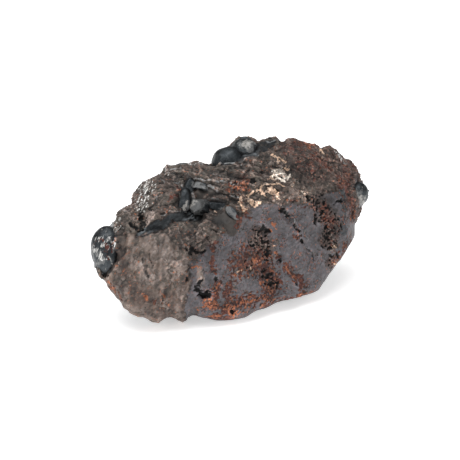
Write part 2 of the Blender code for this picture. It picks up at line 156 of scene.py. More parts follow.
# Stains, pits and pale spots on the front, by kind, some of them partly painted shade and highlights: how
# wide each is from its middle line to its edge, and then how far right and up each point of that line is.
MARKS = {
    # Pale dust, and on the lobe's upper side painted light where it faces the lamps.
    "veil": [
        (4.2, -31, -4, -27, -9, -21, -14), (2.6, -39, -12.6, -35, -14), (1.1, -12.6, -15, -12.4, -20),
        (1.9, -33.4, 2, -31.8, 6), (2.4, -34, -19, -24, -17),
    ],
    "umber": [
        (6, -42, -22, -34, -29, -22, -31), (3.5, -45, -10, -43, -18), (2, -20, -12, -19, -24),
        (1.8, -13.6, 14.8, -9.6, 14.8),
    ],
    "crumbly": [
        (3.6, 14, 31, 20, 27, 19, 20, 12, 16, 7, 10), (2, 24, 18, 30, 14), (4, 8, -14, 3, -18),
        (3.6, 12, -4, 17, -9), (1.8, -13, -15, -12, -22), (2.6, 41, -5, 42, -14), (2.2, 36, 31, 42, 26),
    ],
    # Darker stone in part, and in part painted shade in the crease at the right, under the groove and on
    # sides turned from the light.
    "dim": [
        (4.5, -47, -4, -38, -4.4, -36, -10), (3, -46, -12, -44, -24), (4.6, -8, 3, -16, -2, -12, -8),
        (2.4, 13, 26, 25, 24, 32, 21), (1.8, 44, 13, 47, 11), (2, -20, 23, -16, 20),
        (1.5, -15, 13.5, -8, 14.4, 0, 12.6), (3.4, -2, 22, 8, 24), (3, -24, -34, -14, -37),
        (3, 14, -16, 16, -24), (3.6, 38, 10, 41, 0), (2.6, -9, 11, 0, 9),
    ],
    "varnish": [(2.9, -4, 5, 1.6, 3.8, 0.6, -0.6), (1.8, -12, 14.6, -8, 14.8)],
    "rust": [
        (2.2, 1.4, 17, 4.8, 18.8, 6.8, 17.2), (5.2, 6, -12, 4, -15, 11, -13),
        (3.8, 12.8, -12, 14.6, -17, 17, -21, 16, -27), (3.4, -3, -33.6, 2, -30, 8, -28),
        (1.5, -0.6, -22, -0.8, -31), (1, -6.6, -4.6, -7, -9, -7.4, -12.8, -5.8, -17), (1, 0.6, -13.8),
        (1.9, 23, -14.6, 26, -18.4, 29.4, -22, 29, -25), (1.7, 26.4, -2.6), (1.5, 19.4, -10.6),
        (0.8, 29.4, 9.8), (0.6, 24, 12, 26.8, 11.4), (1.4, 42.4, -12.8, 46, -8, 46.8, -5.2),
        (1, 43.6, 20, 46.8, 16, 48.8, 10, 49.6, 5), (1.3, -30.4, -29.2), (1.3, -26.2, -29.8),
        (1, 5, 7.4, 7, 6), (1.7, 14, -30, 30, -27), (1.2, 44, 28, 48, 22, 47, 17),
        (1.2, 27, 35.4, 33, 33.6), (1, -47.6, -22, -43.6, -27), (1, 3, 1, 4, 5), (2, 38.4, 9, 40, 2),
        (0.9, -15.4, -35.4, 2, -35.6), (1.6, -5, -22, -6, -30), (1.4, 33, 31, 40, 24),
        (0.6, -54, -6.4, -52.8, -4.8, -50.8, -4.8, -49.6, -6.8), (0.6, -50, -8, -49.4, -12),
        (0.6, -47.6, -5.6, -47.2, -9), (0.8, -24, 12, -22, 14), (0.8, -22, 18, -20, 17),
    ],
    "orange": [
        (1, 5.2, 18.4, 6.4, 17.4), (0.7, 1.2, 17, 3.6, 16.6), (0.8, 30.4, 34, 33.6, 33.2),
        (2.2, -8.6, -29, -6.2, -30), (2.4, -0.4, -31.6, 1.6, -33), (1.1, 6.8, -31.4), (0.8, -12.8, -31.2),
        (0.7, 6, -29.4, 13, -27.4, 19, -27.2), (0.7, 23.2, -15.4, 26, -18.6), (0.9, 18.8, -9.8),
        (0.7, 16, -0.4), (0.6, 16.6, 4.2), (0.4, 16.8, 3, 18.4, 0.6), (0.8, 41.8, -12.4), (0.6, 20.4, 9),
        (0.8, -46, -15.2), (0.6, -43.2, -15.2), (0.7, -39.2, -10.4), (0.7, -48, -22, -44, -26.6),
        (0.6, -36, -24.8, -33.6, -28), (0.5, -28, -24, -25.6, -26.4), (0.7, 5.2, 7.8),
        (0.8, 15, -22, 16, -25), (0.5, 50, 8, 49, 5), (0.6, 28, -26.6, 33, -25),
        (0.4, -15.8, -16, -13.4, -15), (0.7, 47.6, 22.6), (0.8, 12, -34, 14, -31),
        (0.5, -10, -34.4, -4, -34.8), (0.9, 10, -11, 12, -14), (0.9, 2, -18), (0.8, 12, -21),
    ],
    "cream": [
        (0.6, 17.4, 29.2, 19.6, 28, 22.4, 26.6), (0.35, 19, 26.4, 20.4, 27.2), (0.5, 16.2, 21.4, 18, 20.6),
        (0.4, 21.4, 24.4, 23, 23.6), (0.45, 11.4, 16.4, 14, 17.8, 17.6, 18.6, 21.4, 17.2),
        (1.3, 16.6, 15.6, 18, 14.8, 19.4, 13.2), (0.95, 11.4, 15.4, 13, 14.6, 14, 13.8),
        (0.95, 8.4, 11.6, 9.6, 10.6, 11, 10.2), (0.5, 9.6, 9), (0.4, 7.2, 13.4, 9.2, 14.6),
        (0.4, 4.8, 12.4, 4, 10.4, 4.6, 8.8, 6, 8.4), (0.4, 5.2, 7.6), (0.4, 29, 15, 30, 14.4),
        (0.7, 18, -7.2), (0.8, 41.2, -6), (0.5, 2.4, -16.4), (0.4, 8.8, -15.2), (0.4, 7.6, -19.2),
        (0.4, 18, -22), (0.3, 36, 31.6, 37.4, 30), (0.4, -5.4, 8), (0.4, 42.6, -14),
    ],
    "chalk": [
        (0.9, 16.4, 24.4, 18, 23, 19.4, 24.2), (0.95, 18.2, 21.4, 20.6, 22.8, 22.8, 21),
        (0.6, 19.8, 20.4, 21.6, 20), (0.5, 16, 22.6, 17, 21), (0.4, 14, 18.2, 15.4, 18.6),
        (0.4, 29, 15, 29.6, 14.6), (0.5, 41.2, -6), (0.4, 18, -7.2),
    ],
    # Holes, pits and gaps, painted near black as their shade.
    "black": [
        (1.3, -35.8, 7, -35, 3, -36, 0.8), (1.1, -39.4, 1.8, -36.4, 1.2), (0.8, -16, 18.6, -15.2, 14.5),
        (0.8, -16.8, -7.6), (0.8, -14.8, -7.6), (0.8, -11.6, -8, -10, -7.6),
        (1, -51.2, -15.6, -50.2, -18.6), (1, 13.2, 1, 12, -1, 15.2, -0.6), (0.9, 19.8, -12.4),
        (0.8, 31, 13, 31.8, 11.8), (0.9, 20.4, 8.8, 22, 7.4, 23.4, 6.2), (0.6, 26, 1.4, 27.4, 0),
        (0.7, 28.4, -4, 29, -5.4), (0.8, 34.4, 5, 34.8, 2.4), (0.8, 40.4, -10, 42, -10.6),
        (1.3, -13, -24.2, -10.8, -26.4, -8.6, -25.8), (0.8, -12.4, -20, -13.6, -22.4), (1, 0.8, -33.2),
        (0.8, -5.6, -19.6), (0.7, -2.4, -30.8), (0.9, 44.8, 12, 42.8, 11.4), (0.5, -26.8, -27.8),
        (0.8, -17.4, -20), (0.9, 12.8, 23.4), (0.8, 9.2, 19.2), (0.8, 1.6, 18.8), (0.6, 20.8, 21.4),
        (1, 15, -17.8), (1, 17.6, -20.8), (0.9, 26, -22), (0.9, -15.6, 5.8, -11.4, 5.4),
    ],
    # Grooves that are also darkened as painted shade.
    "crack": [
        (0.35, -34.6, -12, -33.8, -16, -33, -19.4), (0.35, -32, -10, -31.4, -13, -30.6, -15),
        (0.4, 31, -7.4, 31.8, -8.8), (0.35, 32.6, -10.2, 33.6, -12), (0.5, -33.6, -31),
        (0.4, -20, 20, -12, 18.6, -4, 17), (0.4, -4, 15.6, 4, 13.4), (0.35, -6, 26.4, 4, 26),
        (0.4, -26, 22.6, -18, 21),
    ],
    # Pale lines along rims, layers and cracks: partly pale scuffed ore, partly painted highlights on the
    # rims.
    "edge": [
        (0.25, -28, 6, -24, 7.2, -19.6, 7.5), (0.4, -18.8, 21.6, -12, 20.4, -4, 19.2, 2, 18),
        (0.4, -10, 17.8, -6, 15.8, 0, 13.8, 4, 12.2), (0.35, -12, 12.6, -7.2, 12.2, -1.6, 11.8),
        (0.2, -4, 26.6, 2, 27.2), (0.2, 4, 27, 9, 28.6, 12.6, 30.4), (0.4, -15.2, 26.4, -10.8, 27),
        (0.4, 15, 35.8, 19, 36.4), (0.4, -15.8, 18.6, -14.4, 15, -13.8, 12.4), (0.3, 24.6, 5.4, 26.8, 2),
        (0.3, 22.4, 8.6, 24, 6.6), (0.4, -26, 25, -22, 23.6, -20, 24), (0.4, -22, 19.6, -19, 18.8),
        (0.4, -28, 21, -25, 18.6), (0.2, 0, 24.8, 7, 26), (0.5, -44, 8, -40.6, 7.6), (0.25, 29, 1, 31, -3),
        (0.6, 44, 30, 46, 27), (0.3, -8, 22.6, 0, 21), (0.4, -30, 15, -28.4, 11), (0.5, 35.6, 31.4, 38, 30),
    ],
    "pitted": [
        (3.6, 35.6, 11, 38.4, 8, 41, 2, 39.2, -4), (4.2, 11, -3, 13.4, -8), (2.2, 40, -14),
        (2.4, 15.4, -18, 16.8, -22), (2.6, 8, -14), (2, -14, -8), (1.6, 34.8, 4),
    ],
    # Silvery specular ore, its bright white partly a painted glint.
    "silver": [
        (2.9, -32.6, 18.4, -34.4, 14, -36, 9.6), (1.7, -46, 4.6, -44.6, 2.4), (1.3, -25.4, 24, -24.6, 22.6),
        (0.9, -15.4, 26.8, -10.2, 26.6), (0.9, -30.6, 10), (0.5, -28.6, 14), (0.8, 42.6, 31, 44.4, 28),
        (0.4, 21.4, 7.6, 23.4, 5.2), (0.35, 26, 1.6, 27.6, -0.2), (0.3, 28.6, -4.6, 29.4, -6),
        (0.6, -20.8, 14.4), (0.8, -46.8, 1.6, -45.2, 0.4),
        (1.2, -53.2, -3.8, -50.8, -3.2, -48.2, -3.6, -46.8, -5), (0.6, -46.8, -5, -46.2, -8.4),
        (1.4, -53.4, -8, -51.8, -6.4, -50.4, -5.8), (1.2, -52.2, -8.4, -51.6, -11.6),
    ],
    "sheen": [
        (1.9, -36, -1.4, -30, 1, -25.4, 3.8, -20, 5.4, -12.4, 5.6), (2, 12, 33, 17, 35.4),
        (2, 2, 29, 10, 31), (1.6, 45, 16, 45.6, 8, 45, 0),
    ],
    "blue": [(5, -5, -10, 2, -4, 8, -4), (3.2, 43, 12, 44, 2), (3, 20, -24, 24, -26), (3, -12, -28)],
    # Pale worn ore on the domes, in part painted highlights where their facets face the lamps.
    "worn": [
        (1.4, -18.2, 11.4, -18.2, 8), (0.8, -15.2, 9.8, -14.4, 11.4), (0.7, -20.8, 14.2),
        (1.25, 5.8, 35.4, 7.4, 34.4), (0.35, -49, -10.8, -48.2, -13.6), (1.2, 52, 13, 53, 10),
        (0.6, -5.4, 8), (0.8, -45.4, 3.6), (0.35, -46.2, -4.6, -45.6, -7),
    ],
    # Grey scuffed ore, in part painted highlights on facets that face the lamps.
    "scuffed": [
        (1, -45.8, -4.6, -45.4, -6.8, -46.4, -9.2), (2.9, -14.4, 9, -12, 11), (0.9, -14.4, 7, -10, 6.2),
        (2.2, -1.4, 8.8, 0.8, 6.4, 3, 4), (1.1, -15, 18.2, -12.4, 18.2, -8, 16.6), (2.4, 51, 15, 52.6, 8),
        (1.2, -52.8, -9, -51.6, -13), (0.7, -54.6, -6, -54.6, -12), (1, -47.6, -4.2, -46.4, -8),
        (1.8, 4, 34.6, 8, 33), (1, -47, 2, -45, 1),
    ],
}

# How each kind of mark frays: how far its edge strays, as a share of its width, over what size, how much
# of the mark wears away, and how far its noise is shifted.
FRAY = {
    "veil": (1.1, 2.2, 0.1, 4), "umber": (1.0, 3.0, 0.0, 5), "crumbly": (0.8, 3.0, 0.0, 7),
    "dim": (0.5, 4.0, 0.0, 3), "varnish": (0.5, 2.5, 0.0, 7), "rust": (2.0, 1.1, 0.2, 4),
    "orange": (1.8, 0.9, 0.25, 6), "cream": (1.6, 0.9, 0.1, 5), "chalk": (1.6, 0.9, 0.1, 5),
    "black": (1.1, 0.9, 0.25, 5), "crack": (1.1, 2.2, 0.1, 5), "edge": (1.4, 2.6, 0.15, 4),
    "pitted": (0.5, 3.0, 0.0, 6), "silver": (1.2, 1.2, 0.1, 6), "sheen": (0.4, 2.0, 0.0, 5),
    "blue": (1.0, 5.0, 0.0, 4), "worn": (1.3, 1.1, 0.1, 4), "scuffed": (0.8, 1.6, 0.1, 7),
}

# How high each pattern of the relief stands on each kind of surface, in millimetres.
RELIEF = {
    "rough": {"facets": 0.75, "chips": 0.45, "flakes": 0.16, "crags": 0.25, "small": 0.12, "layers": 0.6},
    "shoulder": {"fibres": 0.35},
    "lobe": {"folds": 0.7, "grooves": 0.16, "facets": 0.35, "chips": 0.22, "small": 0.1},
    "face": {"facets": 0.14, "chips": 0.14, "flakes": 0.06, "small": 0.07},
    "kidney": {"lumps": 0.05},
}

# The broken facets of the relief, of three sizes: how wide each is, and how far its noise is shifted.
FACETS = {"facets": (5.0, 0), "chips": (2.3, 40), "flakes": (1.3, 80)}

# The patterns that are drawn out along a direction: degrees up from the right of the view, length and
# width, and how far the noise is shifted.
STREAKS = {
    "layers": (-11, 11.0, 1.5, 2), "fibres": (-28, 7.0, 1.3, 6), "grooves": (85, 9.0, 1.3, 5),
    "folds": (80, 12.0, 3.6, 15),
}

# Where the layers show: above a line that falls this much to the right, and from left to right. Each
# fades in from its first place to its second.
LAYERS_FALL = 0.25
LAYERS_ABOVE = (4, 10)
LAYERS_FROM = (-28, -20)
LAYERS_UNTIL = (24, 10)

# How far a stain stands proud of the skin, or lies below it where that is less than 0, and how softly it
# ends. Lime is a crust, in two colours.
STAIN_RELIEF = {"black": (-0.9, 0.5), "edge": (0.22, 0.5), "crack": (-0.4, 0.4), "rust": (-0.12, 0.5)}
LIME_HEIGHT = 0.24

# The small pits: two sizes of noise, how much the broader one counts, and the level from which they open.
PIT_SIZES = (0.9, 2.2)
PIT_CLUMPS = 0.7
PIT_LEVEL = (0.12, 0.3)

# Dents in the stone's outline, and bumps where it is less than 0 deep: how far right and up each is
# seen, how wide it is and how deep.
DENTS = (
    (-7.4, 28.2, 4.0, 2.4), (-10.6, 27.4, 3.0, 1.0), (-47.4, 4.8, 2.8, 1.6), (-46, 1.6, 2.6, -0.8),
    (-40, 11, 2.6, 0.8), (21, 36, 3.0, 1.2), (34.4, 34.8, 4.0, -1.0), (0, 35.4, 3.0, -0.5),
    (-53, 3, 3.0, 0.6),
)

# Dents are this far behind the rim at most, and full depth from the second length on.
DENTS_FADE = (-12, -6)

# The glossy domes on the front: where each is seen, its half-widths across, up and towards the eye, how
# far it is turned in the view in degrees, how far it stands out of the solid, and its breaks. Each break
# faces across, up and towards the eye, and leaves a share of the dome.
DOMES = {
    "left end": ((-48.6, -8.4), (6.9, 9.9, 7.6), 8, 0.0, ()),
    "crown left": ((-0.6, 27.0), (6.8, 6.4, 7.0), 12, -0.8, ()),
    "crown right": ((5.8, 31.2), (5.6, 5.6, 6.6), 0, 0.6, ((0.1, 0.3, 0.95, 0.88),)),
    "right end": ((50.8, 14.6), (4.7, 4.8, 5.0), 0, 0.2, ((0.3, -0.3, 0.9, 0.85),)),
    "hollow tall": ((-18.2, 11.8), (3.1, 5.4, 5.0), -4, 1.0, (
        (0.0, -0.4, 0.92, 0.78), (-0.9, 0.2, 0.4, 0.8),
    )),
    "hollow dark": ((-16.6, 16.4), (2.4, 4.6, 4.0), -14, 0.6, ((0.3, 0.3, 0.9, 0.8),)),
    "hollow broad": ((-12.2, 9.0), (4.9, 4.4, 5.6), 0, 1.4, (
        (-0.55, 0.15, 0.82, 0.66), (0.75, 0.3, 0.59, 0.6), (0.15, -0.7, 0.7, 0.68), (0.1, 0.95, 0.3, 0.7),
        (-0.8, -0.5, 0.33, 0.75),
    )),
    "hollow slab": ((-5.0, 9.4), (4.6, 2.9, 4.6), -6, 0.3, ((0.1, 0.1, 0.99, 0.74), (0.0, 0.9, 0.43, 0.7))),
    "hollow roof": ((-11.8, 16.8), (5.0, 2.5, 5.0), -14, 0.8, (
        (-0.15, 0.42, 0.89, 0.7), (0.1, -0.75, 0.65, 0.6), (-0.85, 0.3, 0.43, 0.75), (0.85, 0.3, 0.43, 0.75),
    )),
    "hollow plate": ((1.0, 6.4), (2.0, 3.7, 3.0), 42, 1.5, ((0.15, 0.35, 0.92, 0.62),)),
}

# A dome's reach is 1 on its own surface. Round a dome outside the hollow the skin is the same ore out to
# the first reach. That edge strays by the second and is as soft as the third.
COLLAR = 1.2
COLLAR_STRAY = 0.25
COLLAR_EDGE = 0.12

# The relief fades out towards a dome over these reaches. Over the next ones the skin is drawn in under
# it, down to the last.
DOME_CLEAR = (0.95, 1.3)
DOME_UNDER = (0.95, 1.22)
DOME_SINK = 0.6

# How much of what stands over a break is taken off, which leaves the break a little crowned.
BREAK_CUT = 0.95

# The domes at the two ends lie past this far left and right. Fine streaks of wear and painted highlight
# cover them, and the left one has at least this much of both all over.
END_DOMES = 40
END_STREAKS = 1.3
LEFT_WEAR_AND_HIGHLIGHT = -0.75

# The skin is finer from this far behind the rim on, where it faces the eye at least this much.
FINE_REACH = -5
FINE_FACING = -0.1

# Closer than this, points of the solid's triangles are one, and a point is on the ground.
SAME_PLACE = 0.001

# A broken facet: how far its edges bend, how much it tilts, and how far its level is from its neighbours'.
FACET_BEND = 0.35
FACET_TILT = 1.6
FACET_STEP = 0.7

# How much of the relief of rough skin the smooth films on it hide.
FILM_HIDES = 0.85

# What changes how light the skin is: patches of noise, broad and fine, each with its size and how much it
# counts, the layers, and the dim places and cracks, which are this much darker: painted shade in the cracks
# and, in part, in the dim places.
TONE_BROAD = (8.0, 0.45)
TONE_FINE = (2.6, 0.3)
TONE_LAYERS = 0.5
TONE_DIM = 0.28
TONE_CRACK = 0.4

# How often the surface is averaged to find its fine and its broad hollows.
CAVITY_PASSES = 4
HOLLOW_PASSES = 30

# Grit lies in clumps, over this range of the noise, and this much of it is missing on the lobe.
GRIT_CLUMPS = (-0.3, 0.4)
LOBE_CLEAN = 0.75

# Grains lean and turn by up to these angles in radians, and are between these widths, as shares of the
# grain size. Noise chips them: how many of its waves go to a grain size, and how deep it cuts, as a share
# of that size.
GRAIN_LEAN = 0.7
GRAIN_TURN = 3.14
GRAIN_WIDTHS = (0.45, 1.35)
GRAIN_CHIPS = 0.8
GRAIN_CHIPPED = 1.4


def eye_place():
    """Where the photograph's eye is, in millimetres."""
    back = Vector((0, -math.cos(EYE_RISE), math.sin(EYE_RISE)))
    return Vector((0, 0, VIEW_MIDDLE)) + back * EYE_DISTANCE


def drawn_to_world(*place):
    """A place given right of, above and before the middle of the view, in the stone's own frame."""
    return Vector(np.array(place) @ SIGHT) + Vector((0, 0, VIEW_MIDDLE))


def read(mesh, name):
    """One vector for each of a mesh's points."""
    values = np.empty(len(mesh.vertices) * 3, np.float32)
    mesh.vertices.foreach_get(name, values)
    return values.reshape(-1, 3).astype(float)


def smooth_step(value, low, high):
    """0 below low and 1 above high, with a smooth rise between."""
    part = np.clip((value - low) / (high - low), 0, 1)
    return part * part * (3 - 2 * part)


class Surface:
    """A mesh's points in millimetres, in the round and as the photograph's eye sees them."""

    def __init__(self, mesh):
        self.mesh = mesh
        self.points = read(mesh, "co") / MM
        ends = np.empty(len(mesh.edges) * 2, np.int32)
        mesh.edges.foreach_get("vertices", ends)
        self.first, self.second = ends.reshape(-1, 2).T
        self.neighbours = np.bincount(ends, minlength=len(self.points))
        self.look()

    def look(self):
        """Works out where each point is seen, and how far it is on the front."""
        across, up, self.out = ((self.points - (0, 0, VIEW_MIDDLE)) @ SIGHT.T).T
        self.seen = np.stack([across, up], axis=1) / (1 - self.out / EYE_DISTANCE)[:, None]
        self.before_rim = self.out + RIM_BACK_RIGHT * across + RIM_BACK_UP * up
        self.facing = read(self.mesh, "normal") @ SIGHT[2]

    def averaged(self, values):
        """The mean of each point's neighbours' values."""
        if values.ndim > 1:
            return np.stack([self.averaged(column) for column in values.T], axis=1)
        total = np.bincount(self.first, values[self.second], len(values))
        total += np.bincount(self.second, values[self.first], len(values))
        return total / self.neighbours

    def ease(self, passes):
        """Smooths small facets away and keeps the larger shape. Points on the ground stay there."""
        grounded = (self.points[:, 2] < SAME_PLACE)[:, None]
        for turn in range(2 * passes):
            pull = EASE_OUT if turn % 2 else EASE_IN
            moved = self.points + pull * (self.averaged(self.points) - self.points)
            self.points = np.where(grounded, self.points, moved)

    def raise_by(self, heights):
        """Moves the points out along the surface's normals, apart from those on the ground."""
        self.store_points()
        normals = read(self.mesh, "normal")
        off_ground = smooth_step(self.points[:, 2], 0, GROUND_BLEND)
        self.points = self.points + normals * (heights * off_ground)[:, None]
        self.store_points()

    def store_points(self):
        """Writes the points back to the mesh."""
        self.mesh.vertices.foreach_set("co", (self.points * MM).astype(np.float32).ravel())
        self.mesh.update()

    def fit_box(self):
        """Eases the points in just before they reach the solid's own box, and writes them to the mesh."""
        low, high = CAD_LOW / MM, CAD_HIGH / MM
        past_high = np.maximum(self.points - (high - BOX_EASE), 0)
        past_low = np.maximum(low + BOX_EASE - self.points, 0)
        past_low[:, 2] = 0
        eased = BOX_EASE * (np.exp(-past_low / BOX_EASE) - np.exp(-past_high / BOX_EASE))
        self.points = np.clip(self.points, low + np.sign(past_low) * BOX_EASE, high - BOX_EASE) + eased
        self.points = np.clip(self.points, low, high)
        self.store_points()

    def cavity(self, passes):
        """How far each point lies above the mean of what is round it, in millimetres."""
        level = self.points
        for _ in range(passes):
            level = self.averaged(level)
        normals = read(self.mesh, "normal")
        return ((self.points - level) * normals).sum(axis=1)

    def grain(self, size, octaves, shift=0):
        """Smooth random values from about -1 to 1 that change over a size in millimetres."""
        away = Vector((shift, 0, 0))
        return np.array([noise.fractal(Vector(p) / size + away, 1.0, 2.0, octaves) for p in self.points])

    def chips(self, size, shift):
        """Heights of small broken facets, each a cell of a size in millimetres with its own tilt and level,
        from about -1 to 1."""
        away = Vector((shift, shift, 0))
        apart = (Vector((31.7, 0, 0)), Vector((0, 57.3, 0)), Vector((0, 0, 83.1)))
        heights = np.empty(len(self.points))
        for i, point in enumerate(self.points):
            spot = Vector(point) / size + away
            spot += FACET_BEND * noise.noise(spot * 1.7) * Vector((1, 1, 1))
            middle = noise.voronoi(spot)[1][0]
            tilt = Vector([noise.noise(middle * 3.1 + way) for way in apart])
            heights[i] = FACET_TILT * tilt.dot(spot - middle) + FACET_STEP * noise.noise(middle * 2.3)
        return heights

    def streaks(self, turn, length, width, shift, octaves=2):
        """Like grain, but drawn out along a direction, in degrees up from the right of the view."""
        cos, sin = math.cos(math.radians(turn)), math.sin(math.radians(turn))
        along = (self.seen[:, 0] * cos + self.seen[:, 1] * sin) / length
        across = (self.seen[:, 1] * cos - self.seen[:, 0] * sin) / width
        spots = np.stack([along + shift, across, self.out / length], axis=1)
        return np.array([noise.fractal(Vector(spot), 1.0, 2.0, octaves) for spot in spots])

    def distance(self, path, strayed=0.0):
        """How far from a line through the path, or from one spot, each point is seen."""
        path = np.array(path, float)
        spots = self.seen + strayed
        if len(path) == 1:
            return np.hypot(*(spots - path[0]).T)
        nearest = np.full(len(spots), np.inf)
        for start, end in zip(path[:-1], path[1:]):
            run = end - start
            along = np.clip((spots - start) @ run / (run @ run), 0, 1)
            nearest = np.minimum(nearest, np.hypot(*(spots - start - along[:, None] * run).T))
        return nearest

    def inside(self, corners):
        """How far inside an area each point is seen, and less than 0 outside it."""
        across, up = self.seen.T
        within = np.zeros(len(self.seen), bool)
        for start, end in zip(corners, corners[1:] + corners[:1]):
            if start[1] != end[1]:
                slope = (end[0] - start[0]) / (end[1] - start[1])
                spans = (start[1] > up) != (end[1] > up)
                within ^= spans & (across < start[0] + (up - start[1]) * slope)
        edge = self.distance(corners + corners[:1])
        return np.where(within, edge, -edge)


def stain(surface):
    """How far each point lies inside each kind of area and mark: more than 0 inside, -1 well outside."""
    stains = {}
    fine = surface.grain(1.2, 3, shift=7)
    broad = surface.grain(4.0, 3)
    lobes = np.maximum(surface.grain(LOBE_SIZE, 3, shift=9) + LOBE_START, 0)
    front = surface.before_rim + LOBE_LENGTH * lobes + FRONT_STRAY * broad + FRONT_REACH
    for name, (stray, corners) in AREAS.items():
        depth = surface.inside(corners) + stray * (broad + FINE_STRAY * fine)
        stains[name] = np.where(front > 0, np.clip(depth / AREA_EDGE, -1, 1), -1)
    wander = np.stack([surface.grain(WANDER_SIZE, 4, shift) for shift in (60, 70)], axis=1)
    turned_away = 1 - smooth_step(surface.facing, *MARKS_FADE)
    for name, marks in MARKS.items():
        depth = np.full(len(surface.points), -1.0)
        for width, *path in marks:
            away = surface.distance(np.reshape(path, (-1, 2)), MARK_WANDER * wander)
            depth = np.maximum(depth, 1 - away / width)
        stray, size, loss, shift = FRAY[name]
        depth = np.where(depth < 0, MARK_FALL * depth, depth)
        near = (depth > MARK_END) & (surface.before_rim > -MARKS_REACH)
        frayed = depth - loss + stray * surface.grain(size, 3, shift) - 2 * turned_away
        stains[name] = np.clip(np.where(near, frayed, -1), -1, 1)
    stains["kidney"] = np.clip(FINE_STRAY * fine - front / CRUST_EDGE, -1, 1)
    ruddy = RUDDY_CONTRAST * surface.grain(RUDDY_SIZE, 3, shift=41) - RUDDY_LEVEL
    stains["ruddy"] = np.clip(ruddy, -1, 1)
    return stains


def share(stains, name, soft):
    """How far each point belongs to one kind of stain, from 0 to 1, with edges of a softness."""
    return smooth_step(stains[name], -soft, soft)


def riddle(surface, stains):
    """Adds the small pits of the pitted places to the black marks."""
    fine, broad = (surface.grain(size, 2, shift) for size, shift in zip(PIT_SIZES, (21, 27)))
    pits = share(stains, "pitted", 0.4) * smooth_step(fine + PIT_CLUMPS * broad, *PIT_LEVEL)
    stains["black"] = np.maximum(stains["black"], np.where(pits > 0.05, 2 * pits - 1, -1))


def surface_kinds(stains):
    """How far each point belongs to each kind of surface that has its own relief, from 0 to 1."""
    kinds = {name: share(stains, name, 0.5) for name in ("face", "lobe", "kidney")}
    film = np.maximum(share(stains, "sheen", 0.4), share(stains, "varnish", 0.4))
    bare = (1 - kinds["face"]) * (1 - kinds["lobe"]) * (1 - kinds["kidney"])
    kinds["rough"] = bare * (1 - FILM_HIDES * film)
    kinds["shoulder"] = kinds["rough"] * share(stains, "shoulder", 0.5)
    return kinds


def relief_patterns(surface):
    """The patterns that the relief is made of, each from about -1 to 1."""
    patterns = {name: surface.chips(*values) for name, values in FACETS.items()}
    patterns.update({name: surface.streaks(*values) for name, values in STREAKS.items()})
    right, up = surface.seen.T
    patterns["layers"] *= smooth_step(up + LAYERS_FALL * right, *LAYERS_ABOVE)
    patterns["layers"] *= smooth_step(right, *LAYERS_FROM) * smooth_step(right, *LAYERS_UNTIL)
    patterns["crags"] = 0.5 - np.abs(surface.grain(2.4, 3, shift=3))
    patterns["small"] = surface.grain(1.1, 2, shift=11)
    patterns["lumps"] = surface.grain(2.0, 2, shift=1)
    return patterns


def relief(surface, stains, kinds, patterns):
    """How high the fine relief stands at each point, in millimetres."""
    height = -dented(surface)
    for kind, amounts in RELIEF.items():
        height += kinds[kind] * sum(amount * patterns[name] for name, amount in amounts.items())
    for name, (proud, soft) in STAIN_RELIEF.items():
        height += proud * share(stains, name, soft)
    return height + LIME_HEIGHT * np.maximum(share(stains, "cream", 0.2), share(stains, "chalk", 0.2))


def tones(surface, stains, kinds, patterns):
    """How light or dark each point is, as a share of its colour. Cracks and some dim places are
    darkened as painted shade.
    """
    size, much = TONE_BROAD
    tone = 1 + much * surface.grain(size, 2, shift=17)
    size, much = TONE_FINE
    tone += much * (1 - kinds["face"]) * surface.grain(size, 3, shift=19)
    tone += TONE_LAYERS * patterns["layers"] * kinds["rough"] - TONE_DIM * share(stains, "dim", 0.8)
    return tone * (1 - TONE_CRACK * share(stains, "crack", 0.4))


def dented(surface):
    """How deep the dents in the stone's outline are at each point, in millimetres."""
    depth = np.zeros(len(surface.points))
    for *spot, width, deep in DENTS:
        depth += deep * (1 - smooth_step(surface.distance([spot]), 0, width))
    return depth * smooth_step(surface.before_rim, *DENTS_FADE)


def dome_centres():
    """Where the middle of each dome is, in millimetres, from the solid's surface where it is seen."""
    solid = bmesh.new()
    solid.from_mesh(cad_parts[NODE].data)
    faces = BVHTree.FromBMesh(solid)
    solid.free()
    eye = eye_place()
    centres = {}
    for name, (seen, halves, _, proud, _) in DOMES.items():
        sight = (drawn_to_world(*seen, 0) - eye).normalized()
        place, _, _, _ = faces.ray_cast(eye * MM, sight)
        if place is None:
            raise RuntimeError(f"no stone where the dome {name} is seen")
        centres[name] = np.array(place / MM + sight * (halves[2] - proud))
    return centres


def dome_axes(turn):
    """A dome's own directions, turned in the view by that many degrees."""
    return np.array(Matrix.Rotation(math.radians(turn), 3, "Z").transposed()) @ SIGHT


def dome_reach(surface, name, centre):
    """How far out from a dome's middle each point is: 1 on the dome's own surface."""
    _, halves, turn, _, _ = DOMES[name]
    return np.linalg.norm((surface.points - centre) @ dome_axes(turn).T / halves, axis=1)


def meet_domes(surface, stains, centres):
    """Makes the skin round the outer domes a collar of the same ore. Gives how clear of all the domes each
    point is, from 0 to 1."""
    reaches = {name: dome_reach(surface, name, centre) for name, centre in centres.items()}
    outer = np.minimum.reduce([reach for name, reach in reaches.items() if not name.startswith("hollow")])
    collar = COLLAR + COLLAR_STRAY * surface.grain(4.0, 3, shift=51)
    stains["kidney"] = np.maximum(stains["kidney"], np.clip((collar - outer) / COLLAR_EDGE, -1, 1))
    return smooth_step(np.minimum.reduce(list(reaches.values())), *DOME_CLEAR)


def sink_under_domes(surface, centres):
    """Draws the skin in under each dome, so that the dome's own surface lies on top."""
    for name, centre in centres.items():
        reach = dome_reach(surface, name, centre)
        under = 1 - smooth_step(reach, *DOME_UNDER)
        wanted = np.minimum(reach, DOME_SINK)
        factor = 1 + under * (wanted / np.maximum(reach, 0.01) - 1)
        surface.points = centre + (surface.points - centre) * factor[:, None]


